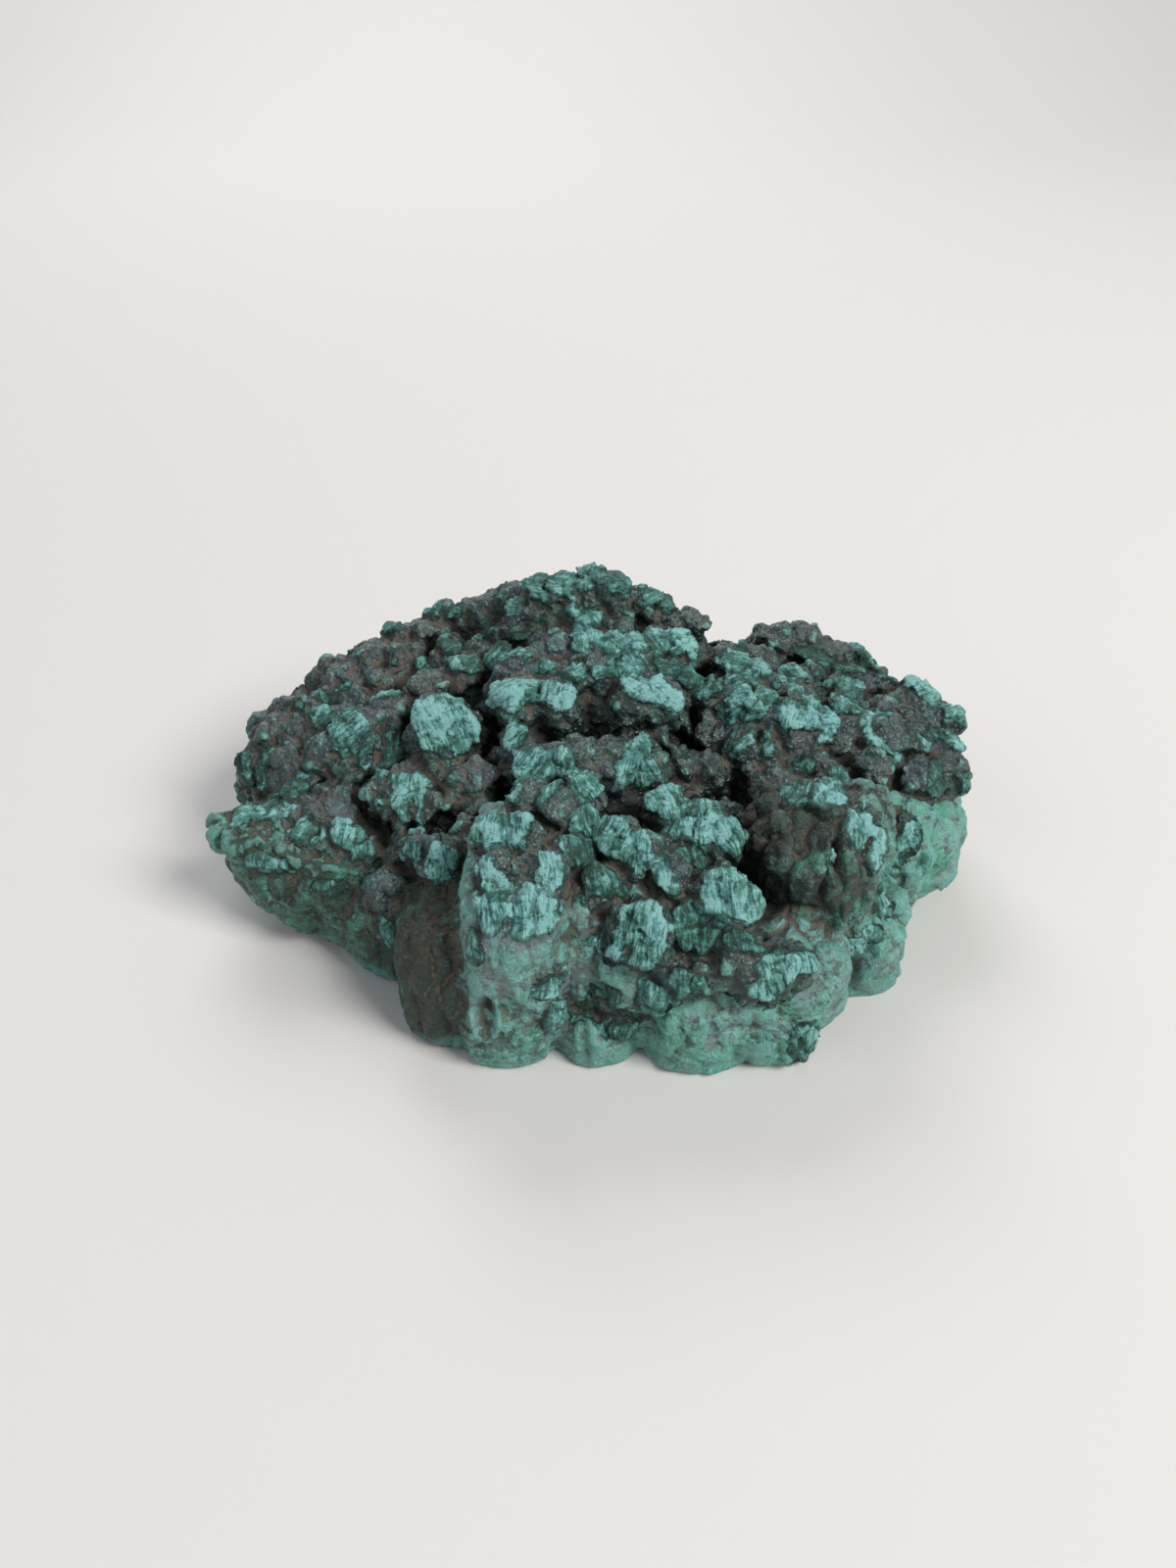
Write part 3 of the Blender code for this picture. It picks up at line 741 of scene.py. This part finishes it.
def cap_share(points, normals, column, drop):
    """How much of a column's pale broken cap lies at places, by how far below its top they are."""
    if column.paleness < 0.12:
        return 0.0
    ragged = cloud("cap_edge", points)
    beside = (points - column.top) @ column.cut / column.radius
    share = smooth_step(column.cap_floor - 0.12, column.cap_floor + 0.12, drop + ragged)
    share *= smooth_step(0.2, 0.45, normals @ column.normal + 0.5 * ragged)
    return share * smooth_step(column.cut_at - 0.1, column.cut_at + 0.1, beside + ragged)


def add_patches(points, what, first_owner):
    """Turns places on the walls into pale broken faces with crisp ragged edges."""
    ragged = cloud("patch_edge", points) + cloud("patch_edge_fine", points)
    for number, (centre, radii, paleness) in enumerate(PATCHES):
        out = np.linalg.norm((points - centre) / radii, axis=1)
        share = smooth_step(1.02, 0.98, out + ragged) * (what["wall"] > 0.0)
        rows = share > 0.0
        what["cap"] = np.maximum(what["cap"], share)
        what["pale"][rows] = paleness
        what["wall"] *= 1.0 - share
        what["owner"][rows] = first_owner + number
        what["facing"][rows] = unit(np.array([PATCH_FACING]))[0]
        what["along"][rows] = (0.0, -PATCH_FACING[2], PATCH_FACING[1])


def wall_looks(points):
    """Looks of the walls nearest to each place, blended over a few millimetres."""
    total = np.zeros((len(points), 4))
    weight = np.full(len(points), 1e-9)
    for body in ALL_WALLS.values():
        near = np.exp(-((from_skin(points, body) / 1.6) ** 2))
        total += near[:, None] * np.array(body.look)
        weight += near
    return total / weight[:, None]


def fibre_places(points, what):
    """Coordinates along the fibres, across them and out of the cap, in millimetres."""
    across = np.cross(what["facing"], what["along"])
    shift = (what["owner"] % 97)[:, None] * 13.7
    local = [(points * way).sum(1) for way in (what["along"], across, what["facing"])]
    return np.stack(local, axis=1) + shift


def cap_relief(points, what):
    """Broken faces, ledges, splinters and cracks of the caps, and a value for each face."""
    local = fibre_places(points, what)
    bend = cloud("fibre_bend", local) + cloud("fibre_bend_fine", local)
    stair = local[:, 0] / LEDGE_STEP + 0.8 * bend
    part = stair - np.floor(stair)
    ledge = smooth_step(0.1, 0.4, part) - part
    faces, value = broken("cap", points)
    small, _ = broken("splinters", local / SPLINTER)
    first, second, _, _ = cells(local / CRACK_CELLS, CRACK_SEED)
    crack = 1.0 - smooth_step(0.02, 0.16, second - first)
    return 0.4 + 0.5 * ledge + faces + small - 0.6 * crack, value


def wall_relief(points, warped, lobed):
    """Dishes, scales, folds and long lobes of the walls, and a value for each scale."""
    scales, value = layer("scales", warped)
    lumpy = smooth_step(0.0, 0.6, cloud("lumpy", points))
    move = dishes(warped) + scales
    move += broken("wall", warped)[0] + layer("wall_fine", warped, lumpy)[0] + cloud("folds", points)
    move += cloud("wall_grain", points)
    lobes, lobe_value = layer("lobes", warped)
    lobes += layer("lobes_fine", warped)[0]
    return move * (1.0 - lobed) + lobes * lobed, np.where(lobed > 0.5, lobe_value, value)


def flank_relief(warped):
    """Knobs of the nodular flanks, and a value for each knob."""
    large, value = layer("flank", warped)
    return large + layer("flank_fine", warped)[0], value


def under_relief(points):
    """Dimples of the surface that the stone rests on."""
    dimple = -DIMPLE_DEPTH * smooth_step(-0.2, 0.6, cloud("dimples", points)) + 0.1
    dimple -= FINE_DIMPLE_DEPTH * smooth_step(0.0, 0.8, cloud("dimples_fine", points))
    return np.minimum(dimple, 0.0)


def relief(points, normals, what):
    """How far each place moves out of the fused skin, in millimetres, and the value of its facet."""
    shift = [cloud(name, points) for name in ("warp_x", "warp_y", "warp_z")]
    warped = points + np.stack(shift, axis=1)
    cap, wall = what["cap"], what["wall"]
    flank_move, flank_value = flank_relief(warped)
    wall_move, wall_value = wall_relief(points, warped, what["look"][:, 3])
    cap_move, cap_value = cap_relief(points, what)
    value = np.where(cap > 0.5, cap_value, np.where(wall > 0.5, wall_value, flank_value))
    move = (flank_move * (1.0 - wall) + wall_move * wall) * (1.0 - cap) + cap_move * cap
    for centre, radii, depth in DENTS.values():
        out = np.linalg.norm((points - centre) / radii, axis=1)
        lip = 0.5 * smooth_step(0.25, 0.0, np.abs(out - 1.15))
        move -= depth * smooth_step(1.0, 0.55, out) - lip
    height = points[:, 2]
    low = smooth_step(0.0, 3.0, height)
    move = np.where(move > 0.0, move * low, move * (0.4 + 0.6 * low))
    under = smooth_step(-0.5, -0.9, normals[:, 2]) * (1.0 - smooth_step(0.6, 2.5, height))
    return move * (1.0 - under) + under_relief(points) * under, value


def dust_share(points, normals, hollow, sky, what):
    """How much brown dust lies at each place: in hollows that face up, most at the left."""
    up = smooth_step(-0.3, 0.7, normals[:, 2])
    sheltered = smooth_step(0.65, 0.25, sky)
    pit = smooth_step(0.0, 0.9, hollow)
    patchy = 0.5 + cloud("dust", points)
    left = 0.42 * smooth_step(10.0, -50.0, points[:, 0])
    dust = up * (0.8 * sheltered + 0.6 * pit + 0.45 * patchy + left - 0.45)
    dust *= 1.0 - 0.65 * what["cap"]
    dust += 0.30 * what["wall"] * what["look"][:, 3] * (0.4 + up) * (1.0 - what["cap"])
    return np.clip(dust, 0.0, 1.0)


def openness(points, normals, tree):
    """Share of the sky that each place sees, among short rays around its normal."""
    draw = np.random.default_rng(SKY_SEED)
    ways = draw.normal(size=(SKY_RAYS, 3))
    ways /= np.linalg.norm(ways, axis=1, keepdims=True)
    seen = np.zeros(len(points))
    for row in range(len(points)):
        normal = Vector(normals[row])
        start = Vector(points[row]) + normal * 0.25
        free = 0
        for way in ways:
            ray = (normal * 1.02 + Vector(way)).normalized()
            free += tree.ray_cast(start, ray, SKY_REACH)[0] is None
        seen[row] = free / SKY_RAYS
    return seen


def nearest_rows(places, points):
    """Row of the place nearest to each point."""
    tree = KDTree(len(places))
    for number, place in enumerate(places.tolist()):
        tree.insert(place, number)
    tree.balance()
    return np.array([tree.find(point)[1] for point in points.tolist()])


def store_looks(stone, what):
    """Keeps on the mesh's points what the material reads of them."""
    points, normals, edges = arrays_of(stone)
    round_about = smoothed(points, edges, 14) - points
    crest = smoothed(points, edges, 3) - points
    hollow = (round_about * normals).sum(1)
    rim = smooth_step(7.0, 2.5, points[:, 2] + cloud("rim", points))
    seam = np.zeros(len(points))
    crossing = edges[what["owner"][edges[:, 0]] != what["owner"][edges[:, 1]]]
    seam[crossing.ravel()] = 1.0
    corners = [tuple(face.vertices) for face in stone.polygons]
    solid = BVHTree.FromPolygons([Vector(place) for place in points], corners)
    sky = smoothed(openness(points, normals, solid)[:, None], edges, 3)[:, 0]
    looks = {key: smoothed(what[key][:, None], edges, 1)[:, 0] for key in ("cap", "pale", "wall")}
    looks["facet"] = what["facet"]
    looks["crease"] = (crest * normals).sum(1)
    looks["look"] = smoothed(what["look"], edges, 2)[:, :3]
    looks["rim"] = rim * what["wall"] * smooth_step(-0.75, -0.2, normals[:, 2])
    looks["seam"] = seam
    looks["fibres"] = fibre_places(points, what)
    looks["hollow"] = hollow
    looks["sky"] = sky
    looks["dust"] = dust_share(points, normals, hollow, sky, what)
    for name, values in looks.items():
        kind, part = ("FLOAT", "value") if values.ndim == 1 else ("FLOAT_VECTOR", "vector")
        made = stone.attributes.new(name, kind, "POINT")
        made.data.foreach_set(part, values.astype(np.float32).ravel())


def stone_mesh():
    """The finished mesh of the specimen, with what its material reads."""
    columns = all_columns()
    skin = fused_skin(columns)
    fused, normals, edges = arrays_of(skin)
    normals = unit(smoothed(normals, edges, 3))
    what = belonging(fused, normals, columns)
    move, what["facet"] = relief(fused, normals, what)
    shaped = fused + normals * move[:, None]
    shaped[:, 2] = np.maximum(shaped[:, 2], 0.0)
    skin.vertices.foreach_set("co", (shaped * MM).astype(np.float32).ravel())
    count = len(skin.loops) - 2 * len(skin.polygons)
    thin = {"ratio": TRIANGLES / count, "use_collapse_triangulate": True}
    stone = with_modifier(skin, "DECIMATE", thin)
    same = nearest_rows(shaped, arrays_of(stone)[0])
    store_looks(stone, {key: value[same] for key, value in what.items()})
    return stone


# ---- Material

# Colours, as linear red, green and blue.
TONES = {
    "flank dark": (0.010, 0.024, 0.021), "flank": (0.034, 0.066, 0.062),
    # "flank blue" is a painted blue grey sheen for the dark flanks
    "flank blue": (0.056, 0.082, 0.094), "flank green": (0.030, 0.130, 0.095),
    # "knob" is a painted highlight for the bulging tops of the knobs
    "knob": (0.090, 0.155, 0.135), "knob dark": (0.012, 0.030, 0.028),
    "chipped dark": (0.040, 0.190, 0.150), "chipped": (0.160, 0.420, 0.380),
    "grey dark": (0.008, 0.022, 0.014), "grey": (0.072, 0.142, 0.124),
    "grey light": (0.210, 0.400, 0.385), "film": (0.140, 0.180, 0.190),
    "green dark": (0.006, 0.026, 0.012), "green": (0.022, 0.140, 0.090),
    "green light": (0.100, 0.380, 0.270), "band": (0.110, 0.300, 0.230),
    "vein": (0.010, 0.040, 0.028), "bare dark": (0.060, 0.250, 0.200),
    "bare": (0.220, 0.525, 0.485), "cap dark": (0.010, 0.062, 0.044),
    "cap": (0.062, 0.240, 0.205), "cap pale": (0.250, 0.550, 0.530),
    # "pit" is near-black painted shade for the deep hollows and crevices
    "crack": (0.008, 0.045, 0.034), "pit": (0.004, 0.009, 0.007),
    "dust dark": (0.064, 0.050, 0.037), "dust": (0.180, 0.144, 0.110),
}
STORED = ("cap", "pale", "wall", "dust", "sky", "hollow", "seam", "crease", "facet", "rim")
REFRACTION = 1.6


class Nodes:
    """Short calls for building the nodes of one material."""

    def __init__(self, material):
        self.tree = material.node_tree
        self.tree.nodes.clear()

    def add(self, kind, inputs=(), **settings):
        """A node with its settings and, by name or number, its inputs."""
        node = self.tree.nodes.new(kind)
        for key, value in settings.items():
            setattr(node, key, value)
        for key, value in dict(inputs).items():
            self.give(node.inputs[key], value)
        return node

    def give(self, socket, value):
        """Links an output to an input, or sets the input, to a named tone where it is a name."""
        if isinstance(value, bpy.types.NodeSocket):
            self.tree.links.new(value, socket)
        else:
            socket.default_value = (*TONES[value], 1.0) if isinstance(value, str) else value

    def attribute(self, name, output="Fac"):
        """What is stored on the mesh's points under a name."""
        return self.add("ShaderNodeAttribute", attribute_name=name).outputs[output]

    def joined(self, operation, *values, clamp=False):
        """Numbers put together one after another."""
        total = values[0]
        for value in values[1:]:
            node = self.add("ShaderNodeMath", {0: total, 1: value}, operation=operation)
            total = node.outputs[0]
        node.use_clamp = clamp
        return total

    def plus(self, *values, clamp=False):
        """Numbers added up."""
        return self.joined("ADD", *values, clamp=clamp)

    def times(self, *values):
        """Numbers multiplied."""
        return self.joined("MULTIPLY", *values)

    def ramp(self, value, low, high, least, most, kind="LINEAR"):
        """A ramp of a value between two levels."""
        inputs = {"Value": value, "From Min": low, "From Max": high, "To Min": least, "To Max": most}
        return self.add("ShaderNodeMapRange", inputs, interpolation_type=kind).outputs["Result"]

    def step(self, value, low, high, least=0.0, most=1.0):
        """A smooth ramp."""
        return self.ramp(value, low, high, least, most, "SMOOTHSTEP")

    def sway(self, value, low, high, reach):
        """A smooth ramp that takes off as much as it adds."""
        return self.step(value, low, high, -reach, reach)

    def tilt(self, value, reach):
        """A straight ramp of a value from 0 to 1 that takes off as much as it adds."""
        return self.ramp(value, 0.0, 1.0, -reach, reach)

    def mix(self, share, first, second):
        """Two colours mixed, each a socket or the name of a tone."""
        return self.add("ShaderNodeMix", {0: share, 6: first, 7: second}, data_type="RGBA").outputs[2]

    def blend(self, share, first, second):
        """Two numbers mixed."""
        return self.add("ShaderNodeMix", {0: share, 2: first, 3: second}, data_type="FLOAT").outputs[0]

    def parts(self, vector):
        """The three parts of a vector or colour."""
        return self.add("ShaderNodeSeparateXYZ", {0: vector}).outputs

    def vectors(self, operation, inputs):
        """One sum on vectors."""
        return self.add("ShaderNodeVectorMath", inputs, operation=operation).outputs[0]

    def scaled(self, place, sizes):
        """Places divided by a size for each direction."""
        return self.vectors("MULTIPLY", {0: place, 1: tuple(1.0 / size for size in sizes)})

    def bent(self, place, size, reach):
        """Places pushed about by smooth noise, in millimetres."""
        inputs = {"Vector": place, "Scale": 1.0 / size, "Detail": 2.0}
        push = self.add("ShaderNodeTexNoise", inputs).outputs["Color"]
        push = self.vectors("SUBTRACT", {0: push, 1: (0.5, 0.5, 0.5)})
        push = self.vectors("SCALE", {0: push, "Scale": reach * 2})
        return self.vectors("ADD", {0: place, 1: push})

    def noise(self, place, size, detail=3.0, rough=0.55, bend=0.0):
        """Cloudy noise around 0.5 with a feature size in millimetres."""
        inputs = {"Vector": place, "Scale": 1.0 / size, "Detail": detail}
        inputs.update({"Roughness": rough, "Distortion": bend})
        return self.add("ShaderNodeTexNoise", inputs).outputs["Fac"]

    def streaks(self, place, sizes, rough, bend):
        """Cloudy noise with a feature size for each direction."""
        return self.noise(self.scaled(place, sizes), 1.0, 4.0, rough, bend)

    def spots(self, place, size, output="Distance"):
        """Scattered cells with a size in millimetres."""
        inputs = {"Vector": place, "Scale": 1.0 / size}
        return self.add("ShaderNodeTexVoronoi", inputs).outputs[output]


class StoneNodes(Nodes):
    """The stone's nodes, with what the mesh stores and the patterns that its surfaces share."""

    def __init__(self, material):
        super().__init__(material)
        for name in STORED:
            setattr(self, name, self.attribute(name))
        self.light, self.deep, self.filmy = self.parts(self.attribute("look", "Vector"))
        self.whole = self.joined("SUBTRACT", 1.0, self.seam)
        place = self.scaled(self.add("ShaderNodeTexCoord").outputs["Object"], (MM, MM, MM))
        self.place = place
        self.wide = self.noise(place, 14.0, 2.0)
        self.middle = self.noise(place, 4.0, 3.0, 0.6)
        self.fine = self.noise(place, 1.1, 4.0, 0.6)
        self.speck = self.noise(place, 0.8, 4.0, 0.7)
        self.grain = self.spots(place, 0.40)
        self.bead = self.spots(place, 1.5)
        self.stripes = self.streaks(self.bent(place, 9.0, 3.0), (5.0, 5.0, 1.5), 0.6, 0.6)
        flakes = self.bent(place, 3.0, 1.6)
        self.flake = self.parts(self.spots(flakes, 6.5, "Color"))
        self.sliver = self.parts(self.spots(flakes, 2.4, "Color"))
        fibres = self.bent(self.attribute("fibres", "Vector"), 6.0, 1.3)
        self.streak = self.streaks(fibres, (6.0, 0.75, 3.0), 0.62, 0.15)
        self.ledge = self.streaks(fibres, (1.2, 3.4, 2.2), 0.62, 0.4)
        self.chip = self.parts(self.spots(self.scaled(fibres, (3.4, 1.7, 2.6)), 1.0, "Color"))


def flank_colour(n):
    """Green black, with deep green patches, blue grey patches of painted sheen and a painted highlight on
    the knob tops.
    """
    colour = n.mix(n.step(n.middle, 0.35, 0.65), "flank dark", "flank")
    # Painted sheen: blue grey patches stand in for the sheen on the dark flanks.
    colour = n.mix(n.step(n.wide, 0.45, 0.65, 0.0, 0.8), colour, "flank blue")
    # Painted highlight: the lighter knob tone goes on the bulging knob tops, where light would catch
    # them.
    knob = n.times(n.step(n.hollow, 0.05, -0.7), n.step(n.fine, 0.35, 0.6), 0.6)
    colour = n.mix(knob, colour, "knob")
    colour = n.mix(n.ramp(n.facet, 0.0, 1.0, 0.0, 0.35), colour, "knob dark")
    green = n.times(n.step(n.noise(n.place, 7.0), 0.55, 0.68), 0.6)
    colour = n.mix(green, colour, "flank green")
    chipped = n.times(n.step(n.hollow, -0.45, -0.85), n.step(n.noise(n.place, 5.0), 0.54, 0.60))
    return n.mix(chipped, colour, n.mix(n.fine, "chipped dark", "chipped"))


def wall_colour(n):
    """Dark to light grey green, or deep green, with pale growth bands, ridges and bare places."""
    lightness = n.plus(
        n.light,
        n.sway(n.middle, 0.3, 0.7, 0.28),
        n.sway(n.wide, 0.35, 0.65, 0.18),
        n.tilt(n.facet, 0.16),
        n.tilt(n.flake[0], 0.16),
        n.tilt(n.sliver[0], 0.16),
        n.sway(n.speck, 0.3, 0.7, 0.25),
    )
    low, high = n.step(lightness, 0.0, 0.55), n.step(lightness, 0.5, 1.05)
    grey = n.mix(high, n.mix(low, "grey dark", "grey"), "grey light")
    green = n.mix(high, n.mix(low, "green dark", "green"), "green light")
    depth = n.plus(n.deep, n.sway(n.noise(n.place, 8.0, 2.0), 0.35, 0.65, 0.35))
    colour = n.mix(n.step(depth, 0.2, 0.8), grey, green)
    cloudy = n.noise(n.bent(n.place, 5.0, 2.5), 7.0, 4.0, 0.65)
    film = n.plus(n.filmy, n.sway(cloudy, 0.35, 0.65, 0.35), n.tilt(n.flake[1], 0.2))
    film = n.times(n.step(film, 0.15, 0.85, 0.0, 0.8), n.step(n.light, -0.1, 0.4))
    colour = n.mix(film, colour, "film")
    band = n.times(n.step(n.stripes, 0.52, 0.62), n.step(lightness, -0.1, 0.6, 0.05, 0.35))
    colour = n.mix(band, colour, "band")
    colour = n.mix(n.times(n.step(n.stripes, 0.44, 0.36), 0.4), colour, "vein")
    ridge = n.joined("MAXIMUM", n.step(n.hollow, -0.35, -0.9), n.step(n.crease, -0.10, -0.28))
    ridge = n.times(ridge, n.step(n.light, 0.05, 0.45))
    peeled = n.noise(n.bent(n.place, 6.0, 3.0), 11.0, 3.0, 0.6)
    peeled = n.times(n.step(peeled, 0.52, 0.58), n.step(lightness, 0.1, 0.7))
    bare = n.joined("MAXIMUM", ridge, peeled, n.rim)
    bare = n.times(bare, n.step(n.fine, 0.25, 0.5, 0.2, 0.85))
    return n.mix(bare, colour, n.mix(n.step(n.streak, 0.35, 0.65), "bare dark", "bare"))


def cap_colour(n):
    """Green to pale turquoise, chip by chip and along the fibres, with painted shade in the small
    creases.
    """
    fibrous = n.plus(n.sway(n.streak, 0.32, 0.68, 0.36), n.sway(n.ledge, 0.3, 0.7, 0.18))
    tone = n.plus(
        n.times(n.pale, 0.76),
        n.times(n.whole, fibrous),
        n.tilt(n.chip[0], 0.10),
        n.tilt(n.facet, 0.26),
        # painted shade: darker where the cap's skin dips into small creases
        n.step(n.crease, 0.05, 0.25, 0.0, -0.30),
        n.step(n.cap, 0.5, 1.0, -0.20, 0.08),
        n.sway(n.middle, 0.3, 0.7, 0.25),
        clamp=True,
    )
    colour = n.mix(n.step(tone, 0.0, 0.5), "cap dark", "cap")
    colour = n.mix(n.step(tone, 0.45, 0.95), colour, "cap pale")
    crack = n.times(n.step(n.plus(n.streak, n.ledge), 0.86, 0.72, 0.0, 0.75), n.whole)
    return n.mix(crack, colour, "crack")


def stone_height(n, is_wall, is_cap, is_dust):
    """Height of the finest relief, in millimetres."""
    beads = n.plus(n.times(n.step(n.bead, 0.75, 0.0), 0.40), n.times(n.grain, 0.14))
    plain = n.plus(
        n.times(n.stripes, 0.40),
        n.times(n.fine, 0.45),
        n.times(n.middle, 0.8),
        n.times(n.flake[2], 0.22),
        n.times(n.sliver[2], 0.16),
        n.times(n.speck, 0.35),
    )
    lines = n.times(n.plus(n.times(n.streak, 1.1), n.times(n.ledge, 1.1)), n.whole)
    lines = n.plus(lines, n.times(n.chip[1], 0.22), n.times(n.fine, 0.35))
    height = n.blend(is_cap, n.blend(is_wall, beads, plain), lines)
    uncovered = n.joined("SUBTRACT", 1.0, n.times(is_dust, 0.5))
    powder = n.times(n.noise(n.place, 0.7, 3.0, 0.7), 0.25, is_dust)
    return n.plus(n.times(height, uncovered), powder)


def stone_material():
    """Dark nodular flanks, pale fibrous caps, smoother green walls and brown dust in one material, with
    near-black painted shade in the hollows and crevices.
    """
    material = bpy.data.materials.new(PIECE)
    material.use_nodes = True
    n = StoneNodes(material)
    is_cap = n.step(n.plus(n.cap, n.sway(n.fine, 0.3, 0.7, 0.3)), 0.35, 0.65)
    is_wall = n.step(n.plus(n.wall, n.sway(n.middle, 0.3, 0.7, 0.3)), 0.35, 0.65)
    settled = n.plus(n.dust, n.sway(n.fine, 0.25, 0.75, 0.35), n.step(n.crease, 0.02, 0.25, -0.08, 0.30))
    is_dust = n.step(settled, 0.25, 0.95, 0.0, 0.85)
    colour = n.mix(is_wall, flank_colour(n), wall_colour(n))
    colour = n.mix(is_cap, colour, cap_colour(n))
    colour = n.mix(is_dust, colour, n.mix(n.fine, "dust dark", "dust"))
    # Painted shade: near black is mixed in where the skin is hollow or sees little of the sky, where
    # shade would fall in the crevices.
    pit = n.joined(
        "MAXIMUM", n.step(n.hollow, 0.3, 1.6, 0.0, 0.65), n.step(n.sky, 0.46, 0.10, 0.0, 0.92)
    )
    colour = n.mix(pit, colour, "pit")

    rough = n.step(n.grain, 0.2, 0.8, 0.22, 0.48)
    rough = n.blend(is_wall, rough, n.step(n.middle, 0.3, 0.7, 0.36, 0.58))
    rough = n.blend(is_cap, rough, n.step(n.streak, 0.3, 0.7, 0.60, 0.80))
    rough = n.blend(is_dust, rough, 0.95)
    height = stone_height(n, is_wall, is_cap, is_dust)
    bump = n.add("ShaderNodeBump", {"Strength": 1.0, "Distance": MM, "Height": height})

    skin = {"Base Color": colour, "Roughness": rough, "Normal": bump.outputs[0], "IOR": REFRACTION}
    shader = n.add("ShaderNodeBsdfPrincipled", skin)
    n.add("ShaderNodeOutputMaterial", {"Surface": shader.outputs[0]})
    return material


# ---- Studio, in metres

FLOOR_COLOUR = (0.72, 0.70, 0.68)
FLOOR_ROUGHNESS = 0.9
FLOOR_WIDTH = 3.0  # to either side
FLOOR_NEAR, FLOOR_FLAT, FLOOR_FAR, FLOOR_HIGH = -2.2, 1.1, 1.7, 2.2
FLOOR_STEPS = 12  # flats in the floor's bend
AIM = (0, 0, 0.03)  # what the lights point at
# Lights: place, size, power, and colour.
LIGHTS = {
    "key": ((1.3, -0.9, 1.5), 0.9, 42.0, (1.0, 0.98, 0.95)),
    "fill": ((-1.4, -0.7, 1.1), 1.6, 7.0, (0.92, 0.96, 1.0)),
    "back": ((-0.3, 1.4, 1.3), 1.0, 16.0, (0.95, 0.97, 1.0)),
}
SKY_COLOUR = (0.80, 0.84, 0.90, 1.0)
SKY_STRENGTH = 0.20
CAMERA_PLACE = (-0.00096, -0.25273, 0.235)
CAMERA_TILT, CAMERA_ROLL = 52.0, -0.9  # degrees
LENS, SENSOR = 27.0, 36.0  # millimetres
CLIP_START = 0.01
BOX_SHARE = 0.9995  # of the CAD solid's box, filled where the stone has to shrink to fit


def plain_material(name, colour, roughness):
    """A matt material of one colour."""
    material = bpy.data.materials.new(name)
    material.use_nodes = True
    shader = material.node_tree.nodes["Principled BSDF"]
    shader.inputs["Base Color"].default_value = (*colour, 1.0)
    shader.inputs["Roughness"].default_value = roughness
    return material


def add_floor():
    """A plain pale floor that runs up behind the specimen in one curve."""
    profile = [(FLOOR_NEAR, 0.0), (FLOOR_FLAT, 0.0)]
    rise = FLOOR_FAR - FLOOR_FLAT
    for number in range(1, FLOOR_STEPS + 1):
        angle = math.pi / 2 * number / FLOOR_STEPS
        profile.append((FLOOR_FLAT + rise * math.sin(angle), rise * (1.0 - math.cos(angle))))
    profile.append((FLOOR_FAR, FLOOR_HIGH))
    points = [(side, y, z) for y, z in profile for side in (-FLOOR_WIDTH, FLOOR_WIDTH)]
    faces = [(2 * k, 2 * k + 1, 2 * k + 3, 2 * k + 2) for k in range(len(profile) - 1)]
    mesh = bpy.data.meshes.new("floor")
    mesh.from_pydata(points, [], faces)
    for face in mesh.polygons:
        face.use_smooth = True
    floor = bpy.data.objects.new("floor", mesh)
    floor.data.materials.append(plain_material("floor", FLOOR_COLOUR, FLOOR_ROUGHNESS))
    bpy.context.scene.collection.objects.link(floor)


def add_light(name, place, size, power, colour):
    """A square soft light aimed at the specimen."""
    light = bpy.data.lights.new(name, "AREA")
    light.size = size
    light.energy = power
    light.color = colour
    thing = bpy.data.objects.new(name, light)
    thing.location = place
    thing.rotation_euler = (Vector(AIM) - Vector(place)).to_track_quat("-Z", "Y").to_euler()
    bpy.context.scene.collection.objects.link(thing)


def add_sky():
    """The even light from all around."""
    world = bpy.data.worlds.new("studio")
    world.use_nodes = True
    background = world.node_tree.nodes["Background"]
    background.inputs["Color"].default_value = SKY_COLOUR
    background.inputs["Strength"].default_value = SKY_STRENGTH
    bpy.context.scene.world = world


def add_camera():
    """The camera, looking down at the specimen from its front."""
    camera = bpy.data.cameras.new("camera")
    camera.lens = LENS
    camera.sensor_width = SENSOR
    camera.clip_start = CLIP_START
    thing = bpy.data.objects.new("camera", camera)
    tilt = Matrix.Rotation(math.radians(CAMERA_TILT), 4, "X")
    roll = Matrix.Rotation(math.radians(CAMERA_ROLL), 4, "Z")
    thing.matrix_world = Matrix.Translation(CAMERA_PLACE) @ (tilt @ roll)
    bpy.context.scene.collection.objects.link(thing)
    bpy.context.scene.camera = thing


def add_stone():
    """The specimen, placed in the CAD solid's box."""
    low, high = [np.array(corner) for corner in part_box(NODE)]
    mesh = stone_mesh()
    points = arrays_of(mesh)[0] * MM
    least, most = points.min(0), points.max(0)
    scale = min(1.0, ((high - low) / (most - least)).min() * BOX_SHARE)
    points = (points - (least + most) / 2) * scale
    points += (low + high) / 2
    points[:, 2] += low[2] - points[:, 2].min()
    mesh.vertices.foreach_set("co", points.astype(np.float32).ravel())
    mesh.polygons.foreach_set("use_smooth", np.ones(len(mesh.polygons), bool))
    mesh.update()
    mesh.materials.append(stone_material())
    mesh.name = PIECE
    stone = bpy.data.objects.new(PIECE, mesh)
    bpy.context.scene.collection.objects.link(stone)
    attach(stone, "root")
    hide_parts(NODE)


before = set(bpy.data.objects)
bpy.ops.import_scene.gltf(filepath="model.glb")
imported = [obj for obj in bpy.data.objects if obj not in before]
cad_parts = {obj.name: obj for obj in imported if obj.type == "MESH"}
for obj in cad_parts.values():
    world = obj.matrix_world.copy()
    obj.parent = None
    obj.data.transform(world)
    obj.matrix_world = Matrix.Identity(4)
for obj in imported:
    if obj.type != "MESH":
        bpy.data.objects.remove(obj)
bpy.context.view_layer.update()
add_stone()
add_floor()
for name, settings in LIGHTS.items():
    add_light(name, *settings)
add_sky()
add_camera()
bpy.context.scene.view_settings.view_transform = "Standard"
